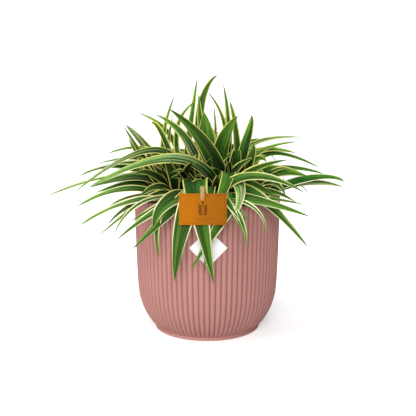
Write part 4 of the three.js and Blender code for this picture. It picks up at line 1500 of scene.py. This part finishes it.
def floor_material(settings):
    """Pale matte floor that glows for the camera only, less near the pot, where its shadow falls."""
    matte = plain_finish(
        "pale_floor", settings.floor, scale=20.0, variation=0.01, roughness=0.8, spread=0.02,
        grain=0.00001)
    tree = matte.node_tree
    shader = next(node for node in tree.nodes if node.type == "BSDF_PRINCIPLED")
    seen = tree.nodes.new("ShaderNodeLightPath").outputs["Is Camera Ray"]
    away = vector_math(tree, "LENGTH", object_place(tree), output="Value")
    glow = rising(tree, smooth_step(tree, away, *GLOW_REACH), settings.glow, 1 - settings.glow)
    shader.inputs["Emission Color"].default_value = (1, 1, 1, 1)
    tree.links.new(math_node(tree, "MULTIPLY", seen, glow), shader.inputs["Emission Strength"])
    return matte


def white_world(settings):
    """Even white light, and pure white where the camera looks past the floor."""
    world = bpy.data.worlds.new("soft_white")
    world.use_nodes = True
    tree = world.node_tree
    backdrop = tree.nodes["Background"]
    backdrop.inputs["Color"].default_value = (1, 1, 1, 1)
    seen = tree.nodes.new("ShaderNodeLightPath").outputs["Is Camera Ray"]
    tree.links.new(rising(tree, seen, settings.sky, 1 - settings.sky), backdrop.inputs["Strength"])
    return world


def photo_camera():
    lens = bpy.data.cameras.new("photo_camera")
    lens.sensor_width = 36.0
    lens.lens = FOCAL_LENGTH
    lens.clip_start, lens.clip_end = 0.02, 20.0
    camera = linked("photo_camera", lens)
    camera.location = Vector(CAMERA_PLACE) * MM
    camera.rotation_euler = (math.radians(90 - CAMERA_PITCH), 0, 0)
    return camera


class PLANT_OT_stage(bpy.types.Operator):
    """Makes the pale floor with its sweep, the soft lights and the camera"""
    bl_idname = "plant.stage"
    bl_label = "Stage"

    def execute(self, context):
        settings = context.scene.spider_plant.stage
        floor = floor_sheet()
        floor.data.materials.append(floor_material(settings))
        for name, place, size, share in LIGHTS:
            area_light(name, place, size, settings.key_power * share)
        context.scene.world = white_world(settings)
        context.scene.view_settings.view_transform = "Standard"
        context.scene.camera = photo_camera()
        return {"FINISHED"}


class PLANT_PT_sidebar(bpy.types.Panel):
    """Lists the steps and settings of the plant"""
    bl_idname = "PLANT_PT_sidebar"
    bl_label = "Potted spider plant"
    bl_space_type = "VIEW_3D"
    bl_region_type = "UI"
    bl_category = "Plant"

    def draw(self, context):
        plant = context.scene.spider_plant
        for settings, fields in (
            (plant.pot, ("rib_count", "rib_depth", "colour")),
            (plant.leaf, (
                "fold", "body", "wave", "margin", "young", "dark", "middle", "bright", "pale", "cream",
                "yellow")),
            (plant.tag, ("card", "ink", "wood")),
            (plant.stage, ("floor", "glow", "key_power", "sky")),
        ):
            box = self.layout.box()
            for field in fields:
                box.prop(settings, field)
        for step in STEPS:
            self.layout.operator(step.bl_idname)


SETTINGS = (PotSettings, LeafSettings, TagSettings, StageSettings, PlantSettings)
STEPS = (
    PLANT_OT_stage, PLANT_OT_cover_pot, PLANT_OT_grower_pot, PLANT_OT_soil, PLANT_OT_rosettes,
    PLANT_OT_card, PLANT_OT_peg, PLANT_OT_label,
)


def register():
    for kind in (*SETTINGS, *STEPS, PLANT_PT_sidebar):
        bpy.utils.register_class(kind)
    bpy.types.Scene.spider_plant = PointerProperty(type=PlantSettings)


def unregister():
    del bpy.types.Scene.spider_plant
    for kind in reversed((*SETTINGS, *STEPS, PLANT_PT_sidebar)):
        bpy.utils.unregister_class(kind)


def main():
    register()
    bpy.ops.plant.stage()
    bpy.ops.plant.cover_pot()
    bpy.ops.plant.grower_pot()
    bpy.ops.plant.soil()
    bpy.ops.plant.rosettes()
    bpy.ops.plant.card()
    bpy.ops.plant.peg()
    bpy.ops.plant.label()


if __name__ == "__main__":
    main()
